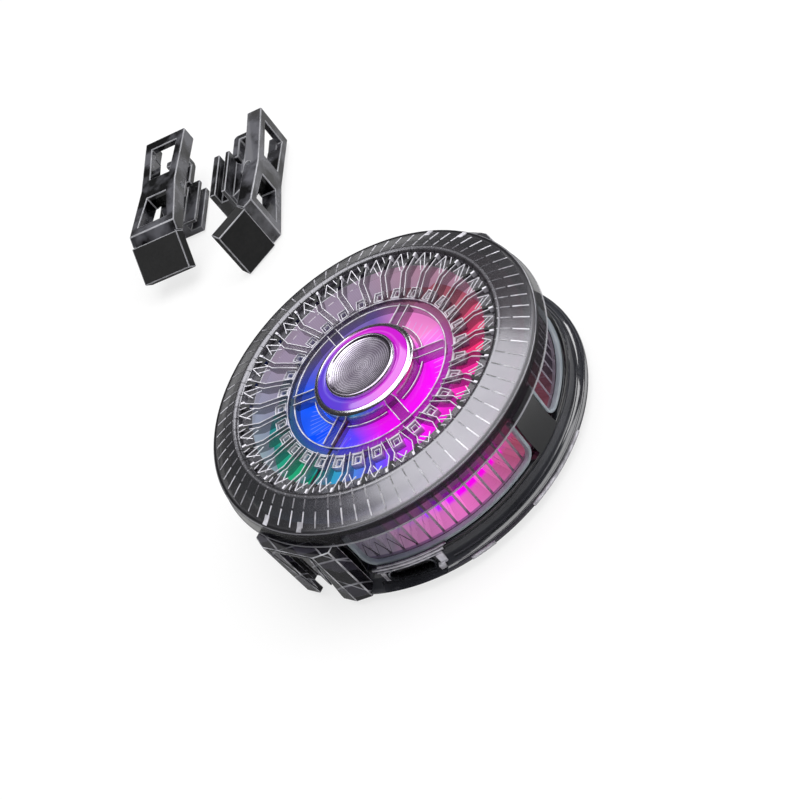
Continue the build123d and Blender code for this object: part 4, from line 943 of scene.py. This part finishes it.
# %% Medallion, light ring and trim
# The dish's height at radius r is floor + rise x (r / rim radius)^4, flat in the middle and steep at the rim.
DISH_FLOOR, DISH_RISE, DISH_RIM = 21.52, 0.28, 6.0
dish_radii = np.arange(0.0, DISH_RIM + 0.05, 0.07)
dish_height = DISH_FLOOR + DISH_RISE * (dish_radii / DISH_RIM) ** 4
medallion_profile = np.concatenate([
    np.column_stack([dish_radii, dish_height]),
    [(6.10, 21.88), (6.18, 22.06), (6.34, 22.18), (6.52, 22.20), (6.70, 22.14), (6.84, 21.98), (6.89, 21.75),
     (6.89, 20.52), (0.0, 20.52)],
])
light_ring_profile = [
    (6.96, 20.52), (8.94, 20.52), (8.94, 20.98), (8.88, 21.08), (8.0, 21.45), (7.7, 21.52), (7.4, 21.5),
    (7.1, 21.36), (6.96, 21.2),
]
trim_profile = [
    (9.03, 20.82), (9.03, 21.08), (9.14, 21.16), (9.36, 21.12), (9.78, 20.92), (9.93, 20.72), (9.95, 20.4),
    (9.9, 19.4), (9.68, 19.4), (9.68, 20.82),
]
piece("medallion_dish", revolve(medallion_profile, step=2.0), dish_metal,
      replaces=("medallion",), crease=50)
piece("halo_glow_ring", revolve(light_ring_profile), halo_glow, replaces=("halo_ring",))
piece("trim_band", revolve(trim_profile), chrome, replaces=("hub_trim",))

# %% [markdown]
# ## Base, side wall and window frames
#
# The base and wall keep their CAD form with softened edges. Fine steps run round the flange, and each window
# has one pale frame: a strip along the sill that turns up at both ends with a round corner. Just inside the
# windows a thin screen, a cap and a ledge glow with painted lamp light.

# %% Base and wall
for node in ("base_shell", "side_wall"):
    soften(node, black_gloss, 0.1)

step_section = np.array([(-0.4, -0.1), (0.0, -0.3), (0.02, -0.12), (-0.04, -0.04), (-0.2, 0.02)])
flange_spans = ((17.0, 163.0), (224.0, 343.0))
step_places = ((33.62, 2.42), (32.72, 3.35))
flange_steps = [
    revolve(step_section + place, start=start, end=end)
    for start, end in flange_spans for place in step_places
]
piece("flange_steps", joined(*flange_steps), black_gloss)

# Two short arcs of clear lip on the base, with painted highlights along them.
base_lip = [(33.7, 1.45), (34.04, 1.5), (34.08, 1.95), (34.0, 2.15), (33.7, 2.2)]
lip_lights = [
    revolve(base_lip, [0, 0.3, 0.6, 0.5, 0.1], start=start, end=end)
    for start, end in ((228.0, 236.0), (251.0, 277.0))
]
piece("lip_lights", joined(*lip_lights), clear_bar)

# %% Ledges round the socket
LEDGE_FOOT, LEDGE_CHAMFER = 31.1, 0.06
# Painted highlight lines on each ledge's outer face.
ledge_highlights = [0, 0.4, 0.7, 0.8, 0.6, 0]


def ledge(low, high, out, start, end):
    """A bar on the wall from the height low to high, out to that radius, with both outer corners cut."""
    shoulder = out - LEDGE_CHAMFER
    profile = [
        (LEDGE_FOOT, low), (shoulder, low), (out, low + LEDGE_CHAMFER), (out, high - LEDGE_CHAMFER),
        (shoulder, high), (LEDGE_FOOT, high),
    ]
    return revolve(profile, ledge_highlights, start=start, end=end)


long_ledges = (
    (5.28, 5.66, 32.0, 198.0, 222.5), (5.80, 6.02, 31.75, 200.0, 224.0), (4.98, 5.16, 32.25, 199.5, 221.5),
)
short_ledges = (
    (2.7, 5.1, 32.55, 219.4, 221.6), (1.9, 3.1, 33.0, 218.4, 220.4), (2.6, 5.1, 32.4, 200.6, 201.8),
)
port_ledges = [ledge(*values) for values in long_ledges + short_ledges]
piece("port_ledges", joined(*port_ledges), clear_bar)

# %% Window frames
POST_INSET = 1.1


def bezel(start, end, sill=6.0, top=14.8, corner=2.3, radius=30.75):
    """Path down one post, round the corner, along the sill and up again, on a cylinder of that radius.

    A corner's points lie at post + turn (1 - cos b) degrees and at the height low - corner sin b, for b from
    0 to 90 degrees, where turn is the corner's length as an angle on the cylinder.
    """
    bend = np.radians(np.linspace(0, 90, 9))
    low = sill + corner
    turn = math.degrees(corner / radius)
    post, far_post = start + POST_INSET, end - POST_INSET
    post_heights = np.linspace(top, low, 5)[:-1]
    bend_angles = post + turn * (1 - np.cos(bend))
    bend_heights = low - corner * np.sin(bend)
    run = np.linspace(post + turn, far_post - turn, 40)[1:-1]
    posts = np.ones(len(post_heights))
    angles = np.concatenate([
        post * posts, bend_angles, run, (far_post + post - bend_angles)[::-1], far_post * posts,
    ])
    heights = np.concatenate([
        post_heights, bend_heights, np.full(len(run), sill), bend_heights[::-1], post_heights[::-1],
    ])
    return polar_path(radius, angles, heights)


bezel_section = [(-0.32, -0.62), (0.32, -0.62), (0.32, 0.1), (0.22, 0.28), (-0.16, 0.34), (-0.32, 0.26)]
windows = ((16.0, 84.0), (96.0, 164.0), (196.0, 264.0), (276.0, 344.0))
for number, (start, end) in enumerate(windows, 1):
    bezel_path = bezel(start, end)
    piece(f"window_bezel_{number}", sweep(bezel_section, bezel_path, upward=upright(bezel_path)), pale_frame,
          replaces=(f"window_frame_{number}",))

# %% Behind the windows
def flat_ring(inner, outer, low, high):
    """A ring between two radii and two heights."""
    return revolve([(inner, low), (outer, low), (outer, high), (inner, high)])


# A thin screen and a cap behind the windows, glowing with painted lamp light.
piece("glowing_screen", flat_ring(24.38, 24.5, 8.7, 17.7), lit_screen)
piece("fin_cap", flat_ring(24.4, 29.7, 17.84, 17.96), lit_screen)

WAVE_POINTS, WAVE_PITCH, WAVE_RADIUS = 9, 2.3, 29.86
wave = np.arange(WAVE_POINTS)
wave_path = polar_path(WAVE_RADIUS, 197.0 + WAVE_PITCH * wave, np.where(wave % 2, 10.8, 6.9))
wave_strip = sweep(box_section(0.08, -0.06, 0.06), wave_path, upward=upright(wave_path))
piece("wave_strip", wave_strip, black_gloss)
# A ledge along the sills, glowing with painted lamp light.
piece("fin_ledge", flat_ring(28.06, 29.94, 6.15, 6.34), lit_fin)

# %% [markdown]
# ## Docks, pads and clips
#
# The docks stay as the CAD has them, in dark clear plastic. The pads are soft, so each is drawn with round
# edges and a rubber or silicone grain. The clips are dark moulded levers with a rubber-covered foot.

# %% Docks and pads
# The docks' bevels take a paler material as a painted highlight.
for node in ("dock_right", "dock_left"):
    soften(node, smoked_block, 0.16, highlight_line=bevel_highlight)

pad_profile = [
    (0.0, 0.0), (21.6, 0.0), (21.86, 0.06), (21.97, 0.2), (21.97, 0.34), (21.86, 0.46), (21.6, 0.5),
    (0.0, 0.5),
]
piece("thermal_pad_disc", revolve(pad_profile), silicone, replaces=("thermal_pad",))

groove_section = np.array([(-0.34, 0.0), (-0.2, 0.26), (0.0, 0.3), (0.2, 0.26), (0.34, 0.0)])
groove_radii = (25.6, 27.2, 28.8)
grip_profile = np.concatenate([
    [(23.45, 0.12), (23.6, 0.0)],
    *[groove_section + (radius, 0.0) for radius in groove_radii],
    [(30.8, 0.0), (30.95, 0.12), (30.97, 0.7), (30.9, 0.79), (23.5, 0.79), (23.43, 0.7)],
])
piece("grip_ring_rubber", revolve(grip_profile), rubber, replaces=("grip_ring",))
soften("foam_ring", foam, 0.25)

# %% Clips
# Each clip's bevels take a paler material as a painted highlight.
for side in ("left", "right"):
    soften(f"{side}_lever", clip_plastic, 0.24, highlight_line=clip_bevel_highlight, clamp=False)
    soften(f"{side}_bracket", clip_plastic, 0.2, highlight_line=clip_bevel_highlight)
    soften(f"{side}_loop", clip_plastic, 0.3, highlight_line=clip_bevel_highlight)
    soften(f"{side}_foot_pad", rubber, 0.24, highlight_line=clip_bevel_highlight)
    paint(steel, f"{side}_hinge_pin", f"{side}_spring")

# %% [markdown]
# ## Inside
#
# The rest keeps its CAD shape. The blades and fins glow with painted lamp light, and the board, motor and
# module get the finish of their own stuff, because they show through the clear cover and the windows.

# %% Impeller
BLADE_COUNT, BLADE_ROOT, BLADE_TIP, BLADE_SWEEP = 11, 10.1, 23.1, 1.3


def blade(chord=50.0, low=12.6, high=15.3, thick=0.42, rows=12, columns=16):
    """A closed blade, swept back 1.3 degrees for each mm outwards.

    At radius r and share c of its chord it stands at chord x c - sweep x (r - root) degrees and at the height
    low + (high - low) c. It is thick x (0.3 + 0.7 sin(pi c)), so thin at both edges.
    """
    share = np.concatenate([np.linspace(0, 1, columns), np.linspace(1, 0, columns)])
    side = np.repeat([0.5, -0.5], columns) * thick * (0.3 + 0.7 * np.sin(np.pi * share))
    loop = len(share)
    radius, share = np.meshgrid(np.linspace(BLADE_ROOT, BLADE_TIP, rows), share, indexing="ij")
    angle = np.radians(chord * share - BLADE_SWEEP * (radius - BLADE_ROOT))
    height = low + (high - low) * share + side[None, :]
    points = np.stack([radius * np.cos(angle), radius * np.sin(angle), height], -1).reshape(-1, 3)
    ends = [list(range(loop)), list(range((rows - 1) * loop, rows * loop))]
    return points, grid_faces(rows, loop).tolist() + ends, np.zeros(len(points))


hub_profile = [
    (0.0, 16.5), (9.45, 16.5), (10.0, 16.27), (10.25, 15.7), (10.25, 9.4), (9.5, 9.4), (9.5, 15.55),
    (0.0, 15.55),
]
piece("blades", joined(around(*blade(), evenly(BLADE_COUNT)), revolve(hub_profile)), lit_blade,
      body="rotor", replaces=("impeller",))

# %% Finishes of the inner parts
# The heat sink glows with painted lamp light, with painted highlights on its edges.
paint(lit_fin, "heat_sink")
paint(aluminium, "cold_plate")
paint(ceramic, "cold_ceramic", "hot_ceramic")
paint(pellet, "module_pellets")
paint(steel, "frame_screws", "hub_screws", "board_screws", "port_shell", "shaft", "rotor_cup")
paint(circuit_board, "hub_board", "motor_board", "main_board")
paint(lamp_glow, "hub_lights")
paint(tongue_black, "port_tongue", "motor_base")
paint(bronze, "bearing_sleeve")
paint(laminated, "stator_core")
paint(copper, "stator_windings")
paint(magnet_black, "rotor_magnet")
paint(chip_black, "board_chips")
paint(wire_skin, "fan_wires", "hub_wires", "module_wires")

# %% [markdown]
# ## Studio
#
# A pale floor and soft lamps. The polished cover shows what surrounds it: a large soft box overhead and a
# little to the right lights the rim nearest the camera, and two lower ones brighten the right. The camera sees
# white everywhere, but reflections see a darker room and floor, so black plastic stays black.

# %% Floor
FLOOR_HALF, FLOOR_DROP = 20.0, 0.4 * MM
WHITE = (1.0, 1.0, 1.0)
# The share of pure white in the floor near the cooler, which grows to all of it between two distances in mm,
# and the share of grey in what mirrors the floor.
NEAR_WHITENESS, MIRRORED_GREY = 0.76, 0.8
NEAR, FAR = 250, 700
floor_signs = ((-1, -1), (1, -1), (1, 1), (-1, 1))
floor_corners = [(x * FLOOR_HALF, y * FLOOR_HALF, -FLOOR_DROP) for x, y in floor_signs]
floor_mesh = bpy.data.meshes.new("floor")
floor_mesh.from_pydata(floor_corners, [], [(0, 1, 2, 3)])
floor = placed("floor", floor_mesh)
floor_paint = bpy.data.materials.new("floor_paint")
floor_paint.use_nodes = True
tree = floor_paint.node_tree
surface = only(tree, "BSDF_PRINCIPLED")
feed(surface.inputs["Base Color"], (0.93, 0.93, 0.93))
feed(surface.inputs["Roughness"], 0.7)


def ray_is(tree, kind):
    """1 for rays of one kind: Camera, Glossy or Transmission."""
    return add(tree, "ShaderNodeLightPath", output=f"Is {kind} Ray")


def blend(tree, factor, first, second):
    """First shader where the factor is 0, second where it is 1."""
    return add(tree, "ShaderNodeMixShader", {}, {0: factor, 1: first, 2: second})


seen = (ray_is(tree, "Camera") + ray_is(tree, "Transmission")).ramp(0.0, 1.0)
far = Place(tree).radius.ramp(NEAR, FAR)
white = add(tree, "ShaderNodeEmission", {}, {"Color": WHITE, "Strength": 1.0})
grey = add(tree, "ShaderNodeEmission", {}, {"Color": WHITE, "Strength": 0.18})
whiteness = NEAR_WHITENESS + (1 - NEAR_WHITENESS) * far
floor_look = blend(tree, seen * whiteness, Field(tree, surface.outputs[0]), white)
floor_look = blend(tree, ray_is(tree, "Glossy") * MIRRORED_GREY, floor_look, grey)
feed(only(tree, "OUTPUT_MATERIAL").inputs["Surface"], floor_look)
floor_mesh.materials.append(floor_paint)
print("floor", 2 * FLOOR_HALF, "m wide")

# %% Room
world = bpy.data.worlds.new("room")
bpy.context.scene.world = world
world.use_nodes = True
room = world.node_tree
dim, dark, backdrop = [
    add(room, "ShaderNodeBackground", {}, {"Color": WHITE, "Strength": strength})
    for strength in (0.13, 0.045, 1.0)
]
room_look = blend(room, ray_is(room, "Glossy"), dim, dark)
room_look = blend(room, ray_is(room, "Camera"), room_look, backdrop)
feed(only(room, "OUTPUT_WORLD").inputs["Surface"], room_look)
print("room of", len(room.nodes), "nodes")


# %% Lamps
def soft_box(name, place, wide, tall, watts, aim=(0, 0, 0.01)):
    """A rectangular lamp at a place, turned to face an aim point."""
    lamp = bpy.data.lights.new(name, "AREA")
    lamp.shape, lamp.size, lamp.size_y, lamp.energy = "RECTANGLE", wide, tall, watts
    made = placed(name, lamp)
    direction = Vector(aim) - Vector(place)
    made.rotation_euler = direction.to_track_quat("-Z", "Y").to_euler()
    made.location = place
    print(name, "of", watts, "W")


soft_box("overhead", (0.15, -0.02, 0.75), 1.0, 0.9, 9.0)
soft_box("far_side", (0.30, 0.52, 0.55), 0.34, 0.34, 0.2)
soft_box("low_right", (0.80, -0.05, 0.20), 0.34, 0.16, 0.8)
soft_box("right_side", (0.61, -0.51, 0.42), 0.5, 0.3, 2.3)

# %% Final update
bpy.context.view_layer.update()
